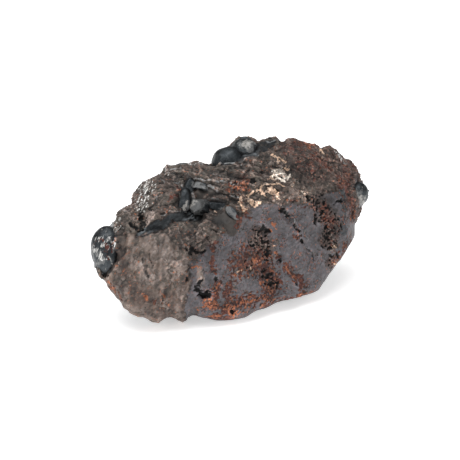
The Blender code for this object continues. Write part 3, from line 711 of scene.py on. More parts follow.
def store(mesh, name, values):
    """Keeps one number for each point of a mesh."""
    layer = mesh.attributes.new(name, "FLOAT", "POINT")
    layer.data.foreach_set("value", np.asarray(values, np.float32))


def linear(code):
    """A colour written as sRGB hex, as the linear numbers that a shader takes."""
    parts = [int(code[i : i + 2], 16) / 255 for i in (1, 3, 5)]
    return [c / 12.92 if c <= 0.04045 else ((c + 0.055) / 1.055) ** 2.4 for c in parts]


def feed(tree, made, inputs):
    """Gives each input of a node its value, or a link from a socket or from a node's first output in use."""
    for name, value in inputs.items():
        if isinstance(value, bpy.types.Node):
            value = next(port for port in value.outputs if port.enabled)
        if isinstance(value, bpy.types.NodeSocket):
            tree.links.new(value, made.inputs[name])
        else:
            made.inputs[name].default_value = value


def add(tree, kind, inputs=None, **settings):
    """Adds a node with its settings and links."""
    made = tree.nodes.new(kind)
    for name, value in settings.items():
        setattr(made, name, value)
    feed(tree, made, inputs or {})
    return made


def colour_setting(code, name, description):
    """A colour that a user may change."""
    return bpy.props.FloatVectorProperty(
        name=name, description=description, subtype="COLOR", size=3, min=0, max=1, default=linear(code)
    )


def number_setting(value, name, description, **kind):
    """A number that a user may change."""
    return bpy.props.FloatProperty(name=name, description=description, default=value, min=0, **kind)


def length_setting(millimetres, name, description):
    """A length that a user may change."""
    return number_setting(millimetres * MM, name, description, unit="LENGTH", precision=5)


class HematiteColours(bpy.types.PropertyGroup):
    skin: colour_setting("#464039", "Weathered skin", "Brown-grey skin of the top and the left")
    shoulder: colour_setting("#44362f", "Shoulder", "Browner, fibrous skin at the upper right")
    lobe: colour_setting("#6e5d52", "Lobe", "Smoother, paler lobe at the front left")
    face: colour_setting("#59565a", "Broken face", "Massive ore where the stone broke")
    rust: colour_setting("#57281d", "Rust", "Red-brown rust stains")
    orange: colour_setting("#a8623f", "Ochre", "Orange spots of fresh ochre")
    chalk: colour_setting("#ddd2c4", "Chalk", "Whiter crust in the middle of the lime")
    umber: colour_setting("#56433a", "Umber", "Brown clay on the lower part of the lobe")
    cream: colour_setting("#cfae93", "Lime crust", "Cream crust in the cracks of the top")
    kidney: colour_setting("#44484b", "Kidney ore", "What the glossy black domes reflect")
    # Pale dust, which also paints light on the lobe's top and highlights along the layers.
    dust_and_light: colour_setting("#84756d", "Dust", "Pale dust on the lobe and round the lime crust")
    varnish: colour_setting("#352e29", "Desert varnish", "Smooth dark brown film round the hollow")
    # Pale worn ore, which also paints the domes' highlights.
    worn: colour_setting("#9c9994", "Worn ore", "Pale patches where the domes are worn or broken")
    # Grey scuffed ore, which also paints highlights on facets and rims.
    scuffed: colour_setting("#6b6c6c", "Scuffed ore", "Grey patches and edges where the ore is scuffed")
    # Black specks, partly the painted shade of small pits.
    specks_and_pit_shade: colour_setting("#14110f", "Soot", "Black specks and the floors of pits")
    # Silvery ore, its white partly a painted glint.
    silver: colour_setting("#dcdad6", "Silver", "Bright flecks of specular ore")


class HematiteRelief(bpy.types.PropertyGroup):
    spacing: length_setting(0.88, "Spacing", "Distance between the skin's points, halved on the front")
    easing: bpy.props.IntProperty(
        name="Easing", description="Passes that ease the solid's facets", default=6, min=0, max=20
    )
    strength: number_setting(1.0, "Strength", "How strong the fine relief is", max=2, subtype="FACTOR")


class HematiteGrains(bpy.types.PropertyGroup):
    grit_size: length_setting(0.42, "Grit size", "Half the width of a crumb on the rough skin")
    grit_count: number_setting(0.35, "Grit", "Crumbs on each square millimetre of rough skin", max=2)
    crust_size: length_setting(0.24, "Crust size", "Half the width of a crumb of lime crust")
    crust_count: number_setting(3.0, "Crust", "Crumbs on each square millimetre of lime crust", max=20)
    fleck_size: length_setting(0.30, "Fleck size", "Half the width of a silvery fleck")
    fleck_count: number_setting(0.5, "Flecks", "Flecks on each square millimetre of silvery skin", max=20)


class HematiteStage(bpy.types.PropertyGroup):
    floor: colour_setting("#f7f7f7", "Floor", "Colour of the floor")
    sky: number_setting(0.52, "Room light", "Strength of the light from all round")
    mirrored_sky: number_setting(0.16, "Mirrored room", "How bright the room is where the stone mirrors it")
    glow: number_setting(0.5, "Table light", "Strength of the light that comes through the table")
    top_light: number_setting(8.5, "Top light", "Power of the soft light overhead", unit="POWER")
    left_light: number_setting(2.5, "Left light", "Power of the soft light at the left", unit="POWER")
    right_light: number_setting(2.0, "Right light", "Power of the soft light at the right", unit="POWER")


def new_material(name):
    """A new material and its nodes."""
    mat = bpy.data.materials.new(name)
    mat.use_nodes = True
    return mat, mat.node_tree


def tint(name):
    """One of the stone's colours, as the four numbers that a shader takes."""
    return [*getattr(bpy.context.scene.hematite_colours, name), 1.0]


def grain_along(tree, turn, length, width, **kind):
    """A grain of that length and width in millimetres, turned in the photograph's view."""
    lie = Matrix.Rotation(math.pi / 2 - EYE_RISE, 3, "X") @ Matrix.Rotation(math.radians(turn), 3, "Z")
    laid = {
        "Vector": add(tree, "ShaderNodeTexCoord").outputs["Object"], "Rotation": lie.to_euler(),
        "Scale": (length * MM, width * MM, length * MM),
    }
    place = add(tree, "ShaderNodeMapping", laid, vector_type="TEXTURE")
    return add(tree, "ShaderNodeTexNoise", {"Vector": place, "Scale": 1.0, **kind})


def toned(tree, lie, name, spread):
    """A colour that goes darker and lighter with a grain, and how high the grain stands. Paler grains are
    greyer."""
    grain = grain_along(tree, *lie, Detail=5.0, Roughness=0.62, Distortion=0.6)
    steps = add(tree, "ShaderNodeValToRGB", {"Fac": grain})
    ramp = steps.color_ramp
    colour = tint(name)[:3]
    grey = sum(colour) / 3
    greyed = [(1 - PALE_GREYNESS) * part + PALE_GREYNESS * grey for part in colour]
    pale = [min(1.0, part * (1 + spread)) for part in greyed]
    ramp.elements[0].position = GRAIN_DARK_AT
    ramp.elements[0].color = [part / (1 + spread) for part in colour] + [1.0]
    ramp.elements[1].position = GRAIN_PALE_AT
    ramp.elements[1].color = pale + [1.0]
    ramp.elements.new(0.5).color = [*colour, 1.0]
    return steps, grain


def frayed_edge(tree, size, inward, outward):
    """How far the edges of marks stray in or out at each point, over a size in millimetres."""
    place = add(tree, "ShaderNodeTexCoord").outputs["Object"]
    ragged = {"Vector": place, "Scale": 1 / (size * MM), "Detail": 4.0, "Roughness": 0.8}
    level = add(tree, "ShaderNodeTexNoise", ragged)
    stray = {"Value": level, "From Min": 0.3, "From Max": 0.7, "To Min": -inward, "To Max": outward}
    return add(tree, "ShaderNodeMapRange", stray)


def coverage(tree, name, fray, soft):
    """How fully a coat covers each point, from 0 to 1: its mark, frayed, with a soft edge."""
    mark = add(tree, "ShaderNodeAttribute", attribute_name=name).outputs["Fac"]
    frayed = add(tree, "ShaderNodeMath", {0: mark, 1: fray}, operation="ADD")
    edge = {"Value": frayed, "From Min": -soft, "From Max": soft}
    return add(tree, "ShaderNodeMapRange", edge, interpolation_type="SMOOTHSTEP")


def lay_over(tree, under, over, cover):
    """One finish laid over another, as far as the upper one covers it."""
    colours = {0: cover, 6: under["colour"], 7: over["colour"]}
    finish = {"colour": add(tree, "ShaderNodeMix", colours, data_type="RGBA")}
    for part in ("height", "roughness", "metallic"):
        levels = {0: cover, 2: under[part], 3: over[part]}
        finish[part] = add(tree, "ShaderNodeMix", levels, data_type="FLOAT")
    return finish


def coated(tree, finish, coats, fray):
    """A finish with coats laid over it in turn, each where its mark is."""
    for name, own, lie, spread, roughness, metallic, stands, soft in coats:
        colour, grain = toned(tree, lie, own, spread)
        height = add(tree, "ShaderNodeMath", {0: grain, 1: stands}, operation="MULTIPLY")
        coat = {"colour": colour, "height": height, "roughness": roughness, "metallic": metallic}
        finish = lay_over(tree, finish, coat, coverage(tree, name, fray, soft))
    return finish


def dress(tree, finish, size, unevenness, depth):
    """Gives the shader its finish, with a fine unevenness that rougher places have more of."""
    place = add(tree, "ShaderNodeTexCoord").outputs["Object"]
    fine = {"Vector": place, "Scale": 1 / (size * MM), "Detail": 4.0, "Roughness": 0.7}
    uneven = {0: add(tree, "ShaderNodeTexNoise", fine), 1: finish["roughness"]}
    level = add(tree, "ShaderNodeMath", uneven, operation="MULTIPLY")
    raised = {0: level, 1: unevenness, 2: finish["height"]}
    height = add(tree, "ShaderNodeMath", raised, operation="MULTIPLY_ADD")
    bump = add(tree, "ShaderNodeBump", {"Height": height, "Distance": depth * MM})
    ports = {
        "Base Color": finish["colour"], "Roughness": finish["roughness"], "Metallic": finish["metallic"],
        "Normal": bump,
    }
    feed(tree, tree.nodes["Principled BSDF"], ports)


# What lies over what on the stone, from the bottom up: the stain's name, the colour's name, how its grain
# lies (degrees up from the right of the view, length and width in millimetres), how far it goes darker
# and lighter, its roughness, how metallic it is, how high its grain stands and how softly it ends.
LAYERS = (
    ("top", "skin", (-11, 2.8, 1.3), 1.15, 0.52, 0.3, 1.1, 0.5),
    ("ruddy", "shoulder", (-15, 2.6, 1.1), 1.1, 0.62, 0.05, 1.1, 1.0),
    ("shoulder", "shoulder", (-28, 3.2, 1.0), 1.25, 0.64, 0.1, 1.3, 0.4),
    ("lobe", "lobe", (70, 2.8, 1.6), 0.5, 0.58, 0.1, 0.7, 0.4),
    ("umber", "umber", (50, 2.4, 1.2), 0.6, 0.62, 0.05, 0.6, 1.1),
    ("face", "face", (20, 1.4, 1.0), 0.28, 0.50, 0.3, 0.3, 0.3),
    ("blue", "face", (0, 1.8, 1.4), 0.25, 0.42, 0.5, 0.3, 0.6),
    ("pitted", "shoulder", (30, 1.4, 1.1), 1.0, 0.65, 0.1, 0.9, 0.9),
    ("veil", "dust_and_light", (60, 2.0, 1.0), 0.5, 0.72, 0.0, 0.7, 0.8),
    ("varnish", "varnish", (0, 3.0, 2.0), 0.25, 0.60, 0.1, 0.2, 0.4),
    ("sheen", "kidney", (25, 4.0, 1.2), 0.5, 0.34, 0.8, 0.2, 0.3),
    ("kidney", "kidney", (0, 2.5, 2.5), 0.45, 0.30, 1.0, 0.1, 0.3),
    ("rust", "rust", (0, 1.3, 1.0), 1.5, 0.85, 0.0, 0.8, 0.45),
    ("orange", "orange", (0, 0.8, 0.7), 0.6, 0.90, 0.0, 0.5, 0.3),
    ("edge", "scuffed", (0, 0.8, 0.8), 0.4, 0.55, 0.1, 0.4, 0.3),
    ("cream", "cream", (0, 4.5, 3.5), 0.3, 0.85, 0.0, 0.5, 0.2),
    ("chalk", "chalk", (0, 1.5, 1.2), 0.2, 0.90, 0.0, 0.5, 0.2),
)

# The same for the glossy domes on the front.
DOME_LAYERS = (
    ("scuffed", "scuffed", (80, 1.6, 0.7), 0.4, 0.42, 0.5, 0.42, 0.28),
    ("rust", "rust", (80, 1.6, 0.7), 0.8, 0.70, 0.1, 0.70, 0.28),
    ("orange", "orange", (80, 1.6, 0.7), 0.6, 0.80, 0.0, 0.80, 0.28),
    ("worn", "worn", (80, 1.6, 0.7), 0.35, 0.45, 0.25, 0.40, 0.28),
)

# A grain's colour goes from its dark shade to its pale one between these levels of its noise, and the
# pale shade is this much greyer.
GRAIN_DARK_AT = 0.34
GRAIN_PALE_AT = 0.66
PALE_GREYNESS = 0.4

# Specks all over a kind of surface: their size in millimetres, the level of noise above which one shows,
# their colour and where they are. The black specks are partly the painted shade of small pits.
SPECKS = (
    (0.9, 0.62, "rust", "face"), (1.0, 0.65, "orange", "face"), (1.6, 0.62, "skin", "face"),
    (1.6, 0.58, "shoulder", "bare"), (1.0, 0.66, "orange", "bare"), (1.2, 0.60, "dust_and_light", "bare"),
    (1.0, 0.64, "orange", "lobe"), (2.2, 0.55, "skin", "lobe"), (2.6, 0.56, "dust_and_light", "lobe"),
    (1.1, 0.60, "dust_and_light", "shoulder"), (1.2, 0.56, "specks_and_pit_shade", "shoulder"), (1.6, 0.58, "rust", "shoulder"),
    (1.1, 0.66, "orange", "shoulder"), (0.9, 0.60, "dust_and_light", "crumbly"),
    (0.8, 0.66, "cream", "crumbly"), (1.0, 0.57, "orange", "rust"), (0.9, 0.56, "specks_and_pit_shade", "rust"),
    (1.2, 0.60, "rust", "pitted"), (0.9, 0.62, "dust_and_light", "pitted"), (0.8, 0.58, "specks_and_pit_shade", "pitted"),
    (0.8, 0.63, "specks_and_pit_shade", "face"),
)

# The size of the patches where specks lie thicker.
SPECK_PATCH = 5

# Painted shade and painted light from the shape: the kind of hollow, the depth in millimetres for the whole
# effect, and the shares of the colour that are left in a hollow and on a ridge. Pits are painted this much
# darker besides, as shade.
SHADES = (("cavity", 0.22, 0.3, 1.55), ("hollow", 0.8, 0.55, 1.4))
PIT_SHADE = 0.92


def rusted_joints(tree, finish, fray):
    """The finish with rust in the joints between the crust's domes."""
    cover = add(tree, "ShaderNodeAttribute", attribute_name="kidney").outputs["Fac"]
    hollow = add(tree, "ShaderNodeAttribute", attribute_name="cavity").outputs["Fac"]
    joint = {"Value": hollow, "From Min": -0.02, "From Max": -0.12, "To Max": 0.8}
    uneven = {"Value": fray, "From Min": -0.3, "From Max": 0.1, "To Min": 0.3}
    for limits in (joint, uneven):
        level = add(tree, "ShaderNodeMapRange", limits)
        cover = add(tree, "ShaderNodeMath", {0: cover, 1: level}, operation="MULTIPLY")
    dull = {"colour": tint("rust"), "height": finish["height"], "roughness": 0.8, "metallic": 0.0}
    return lay_over(tree, finish, dull, cover)


def specked(tree, colour):
    """The colour with specks over it, thicker in some patches than in others."""
    kind = {"Vector": add(tree, "ShaderNodeTexCoord").outputs["Object"], "Detail": 3.0, "Roughness": 0.6}
    patches = add(tree, "ShaderNodeTexNoise", {**kind, "Scale": 1 / (SPECK_PATCH * MM)})
    uneven = {"Value": patches, "From Min": 0.42, "From Max": 0.58, "To Min": 0.15}
    patchy = add(tree, "ShaderNodeMapRange", uneven)
    for size, limit, own, where in SPECKS:
        grain = add(tree, "ShaderNodeTexNoise", {**kind, "Scale": 1 / (size * MM)})
        level = {"Value": grain, "From Min": limit - 0.06, "From Max": limit, "To Max": 0.9}
        cover = add(tree, "ShaderNodeMapRange", level)
        for part in (patchy, coverage(tree, where, 0.0, 0.5)):
            cover = add(tree, "ShaderNodeMath", {0: cover, 1: part}, operation="MULTIPLY")
        colour = add(tree, "ShaderNodeMix", {0: cover, 6: colour, 7: tint(own)}, data_type="RGBA")
    return colour


def veins_and_edge_highlights(tree, finish, fray):
    """The finish with thin pale lines along the layers of the bare skin, which stand a little proud:
    partly pale veins, partly painted highlights on the layers' edges.
    """
    wander = grain_along(tree, -12, 6.0, 1.7, Detail=2.5, Roughness=0.5, Distortion=0.8)
    off_line = add(tree, "ShaderNodeMath", {0: wander, 1: 0.5}, operation="SUBTRACT")
    off_line = add(tree, "ShaderNodeMath", {0: off_line}, operation="ABSOLUTE")
    thin = {"Value": off_line, "From Min": 0.028, "From Max": 0.0, "To Max": 0.65}
    cover = add(tree, "ShaderNodeMapRange", thin)
    gaps = add(tree, "ShaderNodeMapRange", {"Value": fray, "From Min": -0.2, "From Max": 0.2})
    for part in (gaps, coverage(tree, "bare", -0.25, 0.25)):
        cover = add(tree, "ShaderNodeMath", {0: cover, 1: part}, operation="MULTIPLY")
    raised = add(tree, "ShaderNodeMath", {0: cover, 1: 0.12, 2: finish["height"]}, operation="MULTIPLY_ADD")
    return lay_over(tree, finish, {**finish, "colour": tint("dust_and_light"), "height": raised}, cover)


def silvered(tree, finish, fray):
    """The finish with bright streaks of specular ore where it broke along its fibres, their white partly a
    painted glint.
    """
    fibres = grain_along(tree, 68, 3.0, 0.8, Detail=3.0, Roughness=0.6, Distortion=0.5)
    streaks = add(tree, "ShaderNodeMapRange", {"Value": fibres, "From Min": 0.52, "From Max": 0.6})
    inside = coverage(tree, "silver", fray, 0.3)
    cover = add(tree, "ShaderNodeMath", {0: streaks, 1: inside}, operation="MULTIPLY")
    bright = {"colour": tint("silver"), "height": finish["height"], "roughness": 0.35, "metallic": 0.4}
    return lay_over(tree, finish, bright, cover)


def shaded(tree, colour):
    """The colour darkened in hollows and pits and lightened on ridges: painted shade and painted light."""
    tone = add(tree, "ShaderNodeAttribute", attribute_name="tone").outputs["Fac"]
    levels = []
    for name, reach, dark, light in SHADES:
        depth = add(tree, "ShaderNodeAttribute", attribute_name=name).outputs["Fac"]
        shade = {"Value": depth, "From Min": -reach, "From Max": reach, "To Min": dark, "To Max": light}
        levels.append(add(tree, "ShaderNodeMapRange", shade))
    pit = {0: coverage(tree, "black", 0.0, 0.3), 1: -PIT_SHADE, 2: 1.0}
    levels.append(add(tree, "ShaderNodeMath", pit, operation="MULTIPLY_ADD"))
    for level in levels:
        tone = add(tree, "ShaderNodeMath", {0: tone, 1: level}, operation="MULTIPLY")
    return add(tree, "ShaderNodeVectorMath", {0: colour, 1: tone}, operation="MULTIPLY")


def weathered_ore():
    """Kidney iron ore, broken and weathered: dull brown where it rusted, grey and faintly metallic where
    it broke, and black with a wet gloss where its domes were never touched. Shade in its hollows and pits,
    light on its ridges and highlights along its rims are painted into its colour."""
    mat, tree = new_material("weathered_kidney_ore")
    fray = frayed_edge(tree, 0.7, 0.4, 0.4)
    colour, height = toned(tree, (0, 1.8, 1.4), "skin", 0.85)
    skin = {"colour": colour, "height": height, "roughness": 0.6, "metallic": 0.2}
    finish = rusted_joints(tree, coated(tree, skin, LAYERS, fray), fray)
    finish["colour"] = specked(tree, finish["colour"])
    finish = silvered(tree, veins_and_edge_highlights(tree, finish, fray), fray)
    finish["colour"] = shaded(tree, finish["colour"])
    dress(tree, finish, 0.5, 0.25, 0.9)
    feed(tree, tree.nodes["Principled BSDF"], {"IOR": 1.6})
    return mat


def kidney_ore():
    """The ore's own rounded surface, grown as a crust: black, with a wet, faintly metallic gloss, silvery
    streaks where its fibres show, and pale worn patches that are partly painted highlights."""
    mat, tree = new_material("glossy_kidney_ore")
    colour, grain = toned(tree, (0, 1.6, 1.6), "kidney", 0.5)
    height = add(tree, "ShaderNodeMath", {0: grain, 1: 0.28}, operation="MULTIPLY")
    gloss = {"colour": colour, "height": height, "roughness": 0.40, "metallic": 1.0}
    fray = frayed_edge(tree, 0.6, 0.7, 0.45)
    dress(tree, silvered(tree, coated(tree, gloss, DOME_LAYERS, fray), fray), 0.9, 1.0, 0.5)
    return mat


def lime_crust():
    """A crust of calcite and clay that dried in the cracks: cream, matt and crumbly."""
    return plain_mineral("dried_lime_crust", "cream", 4.0, 0.35, 0.85, 0.0)


def specular_ore():
    """Broken edges of bright ore: small mirrors whose white flash is painted into their colour."""
    return plain_mineral("specular_ore", "silver", 0.6, 0.3, 0.35, 0.4)


def plain_mineral(name, own, size, spread, roughness, metallic):
    """A mineral of one colour that varies from grain to grain."""
    mat, tree = new_material(name)
    colour, _ = toned(tree, (0, size, size), own, spread)
    finish = {"Base Color": colour, "Roughness": roughness, "Metallic": metallic}
    feed(tree, tree.nodes["Principled BSDF"], finish)
    return mat


def link(context, name, data):
    """Adds an object to the scene."""
    made = bpy.data.objects.new(name, data)
    context.scene.collection.objects.link(made)
    return made


def put(context, name, mesh):
    """Adds a finished piece to the scene and says what it rides on."""
    piece = link(context, name, mesh)
    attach(piece, "root")
    return piece


def plain_mesh(context, holder):
    """The mesh that an object's modifiers make, once the object is gone."""
    context.view_layer.update()
    depsgraph = context.evaluated_depsgraph_get()
    mesh = bpy.data.meshes.new_from_object(holder.evaluated_get(depsgraph), depsgraph=depsgraph)
    bpy.data.objects.remove(holder)
    return mesh


def even_net(context, spacing):
    """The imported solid's surface as an even net of small squares, twice as fine on the front."""
    solid = bmesh.new()
    solid.from_mesh(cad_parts[NODE].data)
    bmesh.ops.remove_doubles(solid, verts=solid.verts[:], dist=SAME_PLACE * MM)
    start = bpy.data.meshes.new("merged_solid")
    solid.to_mesh(start)
    solid.free()
    holder = link(context, "merged_solid", start)
    net = holder.modifiers.new("net", "REMESH")
    net.mode = "VOXEL"
    net.voxel_size = spacing
    coarse = plain_mesh(context, holder)
    surface = Surface(coarse)
    fine = bmesh.new()
    fine.from_mesh(coarse)
    fine.edges.ensure_lookup_table()
    on_front = (surface.before_rim > FINE_REACH) & (surface.facing > FINE_FACING)
    edges = [fine.edges[i] for i in np.flatnonzero(on_front[surface.first] & on_front[surface.second])]
    bmesh.ops.subdivide_edges(fine, edges=edges, cuts=1, use_grid_fill=True)
    mesh = bpy.data.meshes.new("hematite_skin")
    fine.to_mesh(mesh)
    fine.free()
    return mesh


def keep_looks(surface, stains, tone, clear):
    """Keeps on the mesh what its material and the grains on it read."""
    covered = [stains[name] for name in ("face", "lobe", "kidney", "sheen", "varnish")]
    rough = (1 - share(stains, "face", 0.5)) * (1 - share(stains, "kidney", 0.5))
    loose = 1 - np.maximum(share(stains, "sheen", 0.4), share(stains, "black", 0.4))
    clumps = smooth_step(surface.grain(3.0, 2, shift=31), *GRIT_CLUMPS)
    looks = {
        **stains,
        "tone": tone,
        "bare": -np.maximum.reduce(covered),
        "cavity": surface.cavity(CAVITY_PASSES),
        "hollow": surface.cavity(HOLLOW_PASSES),
        "gritty": rough * loose * clumps * clear * (1 - LOBE_CLEAN * share(stains, "lobe", 0.5)),
        "crusted": share(stains, "cream", 0.15),
        "flecked": share(stains, "silver", 0.3),
    }
    for name, values in looks.items():
        store(surface.mesh, name, values)


class HEMATITE_OT_skin(bpy.types.Operator):
    """Builds the stone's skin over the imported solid"""

    bl_idname = "hematite.skin"
    bl_label = "Skin"

    def execute(self, context):
        settings = context.scene.hematite_relief
        mesh = even_net(context, settings.spacing)
        surface = Surface(mesh)
        surface.ease(settings.easing)
        surface.store_points()
        surface.look()
        stains = stain(surface)
        centres = dome_centres()
        clear = meet_domes(surface, stains, centres)
        riddle(surface, stains)
        kinds, patterns = surface_kinds(stains), relief_patterns(surface)
        tone = tones(surface, stains, kinds, patterns)
        surface.raise_by(relief(surface, stains, kinds, patterns) * settings.strength * clear)
        sink_under_domes(surface, centres)
        surface.fit_box()
        keep_looks(surface, stains, tone, clear)
        mesh.shade_smooth()
        mesh.materials.append(weathered_ore())
        piece = put(context, "hematite_skin", mesh)
        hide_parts(NODE)
        return {"FINISHED"}


def new_tree(name, result, inputs):
    """A tree with named inputs, each of a kind and some with a default, and one result. Gives the tree
    and what its inputs bring."""
    tree = bpy.data.node_groups.new(name, "GeometryNodeTree")
    for label, (kind, *default) in inputs.items():
        port = tree.interface.new_socket(name=label, in_out="INPUT", socket_type="NodeSocket" + kind)
        if default:
            port.default_value = default[0]
    tree.interface.new_socket(name=result, in_out="OUTPUT", socket_type="NodeSocketGeometry")
    return tree, add(tree, "NodeGroupInput").outputs


def grown(context, tree, start, values):
    """Runs a tree on a mesh and gives back the plain mesh that it makes."""
    holder = link(context, tree.name, start)
    modifier = holder.modifiers.new("nodes", "NODES")
    modifier.node_group = tree
    for port in tree.interface.items_tree:
        if port.item_type == "SOCKET" and port.in_out == "INPUT" and port.name in values:
            modifier[port.identifier] = values[port.name]
    return plain_mesh(context, holder)


def dome_tree():
    """A tree that sets a slightly uneven ball on each point, as wide as the point says."""
    tree, given = new_tree("kidney_domes", "Domes", {
        "Middles": ("Geometry",), "Unevenness": ("Float", 1.3 * MM), "Lump size": ("Float", 6 * MM),
        "Surface": ("Material",),
    })
    ball = add(tree, "GeometryNodeMeshIcoSphere", {"Radius": 1.0, "Subdivisions": 5})
    width = add(tree, "GeometryNodeInputNamedAttribute", {"Name": "width"}, data_type="FLOAT")
    balls = {"Points": given["Middles"], "Instance": ball, "Scale": width}
    placed = add(tree, "GeometryNodeInstanceOnPoints", balls)
    real = add(tree, "GeometryNodeRealizeInstances", {"Geometry": placed})
    scale = add(tree, "ShaderNodeMath", {0: 1.0, 1: given["Lump size"]}, operation="DIVIDE")
    lumps = add(tree, "ShaderNodeTexNoise", {"Scale": scale, "Detail": 2.0})
    level = add(tree, "ShaderNodeMath", {0: lumps, 1: 0.5}, operation="SUBTRACT")
    height = add(tree, "ShaderNodeMath", {0: level, 1: given["Unevenness"]}, operation="MULTIPLY")
    outward = {0: add(tree, "GeometryNodeInputNormal"), "Scale": height}
    offset = add(tree, "ShaderNodeVectorMath", outward, operation="SCALE")
    moved = add(tree, "GeometryNodeSetPosition", {"Geometry": real, "Offset": offset})
    smooth = add(tree, "GeometryNodeSetShadeSmooth", {"Geometry": moved})
    done = add(tree, "GeometryNodeSetMaterial", {"Geometry": smooth, "Material": given["Surface"]})
    add(tree, "NodeGroupOutput", {"Domes": done})
    return tree


def shape_domes(surface, centres):
    """Gives each ball its dome's own widths and turn, and breaks flats off it. All have as many points."""
    balls = np.split(surface.points, len(DOMES))
    for own, (name, (_, halves, turn, _, breaks)) in zip(balls, DOMES.items()):
        shape = (own - centres[name]) / max(halves)
        for *facing, left in breaks:
            facing = np.array(facing) / np.linalg.norm(facing)
            over = np.maximum(shape @ facing - left, 0)
            shape -= BREAK_CUT * over[:, None] * facing
        own[:] = centres[name] + shape * halves @ dome_axes(turn)


class HEMATITE_OT_domes(bpy.types.Operator):
    """Sets the glossy domes on the stone's front"""

    bl_idname = "hematite.domes"
    bl_label = "Kidney domes"

    def execute(self, context):
        centres = dome_centres()
        middles = bpy.data.meshes.new("dome_middles")
        middles.from_pydata([Vector(centres[name]) * MM for name in DOMES], [], [])
        store(middles, "width", [max(values[1]) * MM for values in DOMES.values()])
        mesh = grown(context, dome_tree(), middles, {"Surface": kidney_ore()})
        surface = Surface(mesh)
        shape_domes(surface, centres)
        surface.fit_box()
        surface.look()
        stains = stain(surface)
        for name in ("scuffed", "rust", "orange", "silver"):
            store(mesh, name, stains[name])
        right = surface.seen[:, 0]
        worn = np.where(right < -END_DOMES, np.maximum(stains["worn"], LEFT_WEAR_AND_HIGHLIGHT), stains["worn"])
        streaky = surface.streaks(75, 2.4, 0.6, shift=4, octaves=3)
        store(mesh, "worn", worn + END_STREAKS * streaky * (np.abs(right) > END_DOMES))
        put(context, "kidney_domes", mesh)
        return {"FINISHED"}


def grain_tree():
    """A tree that strews small broken grains over the skin, as densely as a named attribute says."""
    tree, given = new_tree("strewn_grains", "Grains", {
        "Skin": ("Geometry",), "Where": ("String", "gritty"), "Per square metre": ("Float", 1e6),
        "Grain size": ("Float", 0.4 * MM), "Flatness": ("Float", 0.5), "Seed": ("Int", 3),
        "Surface": ("Material",),
    })
    seed, size = given["Seed"], given["Grain size"]
    where = add(tree, "GeometryNodeInputNamedAttribute", {"Name": given["Where"]}, data_type="FLOAT")
    dense = add(tree, "ShaderNodeMath", {0: where, 1: given["Per square metre"]}, operation="MULTIPLY")
    strewn = {"Mesh": given["Skin"], "Density": dense, "Seed": seed}
    spots = add(tree, "GeometryNodeDistributePointsOnFaces", strewn)
    crumb = add(tree, "GeometryNodeMeshIcoSphere", {"Radius": 1.0, "Subdivisions": 1})
    most = Vector((GRAIN_LEAN, GRAIN_LEAN, GRAIN_TURN))
    turn = add(tree, "FunctionNodeRandomValue", {0: -most, 1: most, "Seed": seed}, data_type="FLOAT_VECTOR")
    tilt = add(tree, "FunctionNodeEulerToRotation", {"Euler": turn})
    tilted = {"Rotation": spots.outputs["Rotation"], "Rotate By": tilt}
    facing = add(tree, "FunctionNodeRotateRotation", tilted, rotation_space="LOCAL")
    widths = {2: GRAIN_WIDTHS[0], 3: GRAIN_WIDTHS[1], "Seed": seed}
    width = add(tree, "FunctionNodeRandomValue", widths, data_type="FLOAT")
    across = add(tree, "ShaderNodeMath", {0: width, 1: size}, operation="MULTIPLY")
    high = add(tree, "ShaderNodeMath", {0: across, 1: given["Flatness"]}, operation="MULTIPLY")
    scale = add(tree, "ShaderNodeCombineXYZ", {"X": across, "Y": across, "Z": high})
    crumbs = {"Points": spots, "Instance": crumb, "Rotation": facing, "Scale": scale}
    placed = add(tree, "GeometryNodeInstanceOnPoints", crumbs)
    real = add(tree, "GeometryNodeRealizeInstances", {"Geometry": placed})
    fine = add(tree, "ShaderNodeMath", {0: GRAIN_CHIPS, 1: size}, operation="DIVIDE")
    chips = add(tree, "ShaderNodeTexNoise", {"Scale": fine, "Detail": 1.0}).outputs["Color"]
    level = add(tree, "ShaderNodeVectorMath", {0: chips, 1: (0.5, 0.5, 0.5)}, operation="SUBTRACT")
    reach = add(tree, "ShaderNodeMath", {0: GRAIN_CHIPPED, 1: size}, operation="MULTIPLY")
    offset = add(tree, "ShaderNodeVectorMath", {0: level, "Scale": reach}, operation="SCALE")
    moved = add(tree, "GeometryNodeSetPosition", {"Geometry": real, "Offset": offset})
    flat = add(tree, "GeometryNodeSetShadeSmooth", {"Geometry": moved, "Shade Smooth": False})
    done = add(tree, "GeometryNodeSetMaterial", {"Geometry": flat, "Material": given["Surface"]})
    add(tree, "NodeGroupOutput", {"Grains": done})
    return tree


class HEMATITE_OT_grains(bpy.types.Operator):
    """Strews grit, lime crust and silvery flecks over the skin"""

    bl_idname = "hematite.grains"
    bl_label = "Grains"

    def execute(self, context):
        settings = context.scene.hematite_grains
        skin = bpy.data.objects["hematite_skin"].data
        kinds = (
            ("grit", "gritty", settings.grit_count, settings.grit_size, 0.6, skin.materials[0]),
            ("lime_crumbs", "crusted", settings.crust_count, settings.crust_size, 0.5, lime_crust()),
            ("silver_flecks", "flecked", settings.fleck_count, settings.fleck_size, 0.25, specular_ore()),
        )
        tree = grain_tree()
        for seed, (name, where, count, size, flatness, mat) in enumerate(kinds, start=3):
            values = {
                "Where": where, "Per square metre": count / MM**2, "Grain size": size, "Flatness": flatness,
                "Seed": seed, "Surface": mat,
            }
            mesh = grown(context, tree, skin, values)
            Surface(mesh).fit_box()
            put(context, name, mesh)
        return {"FINISHED"}


# How far the floor reaches from the stone to each side, in metres.
FLOOR_REACH = 4.0

# The soft lights: where each is and how wide, in metres.
LIGHTS = {
    "top_light": ((-0.15, 0.1, 1.0), 1.0),
    "left_light": ((-1.0, -0.5, 0.55), 0.5),
    "right_light": ((1.0, -0.4, 0.45), 0.5),
}


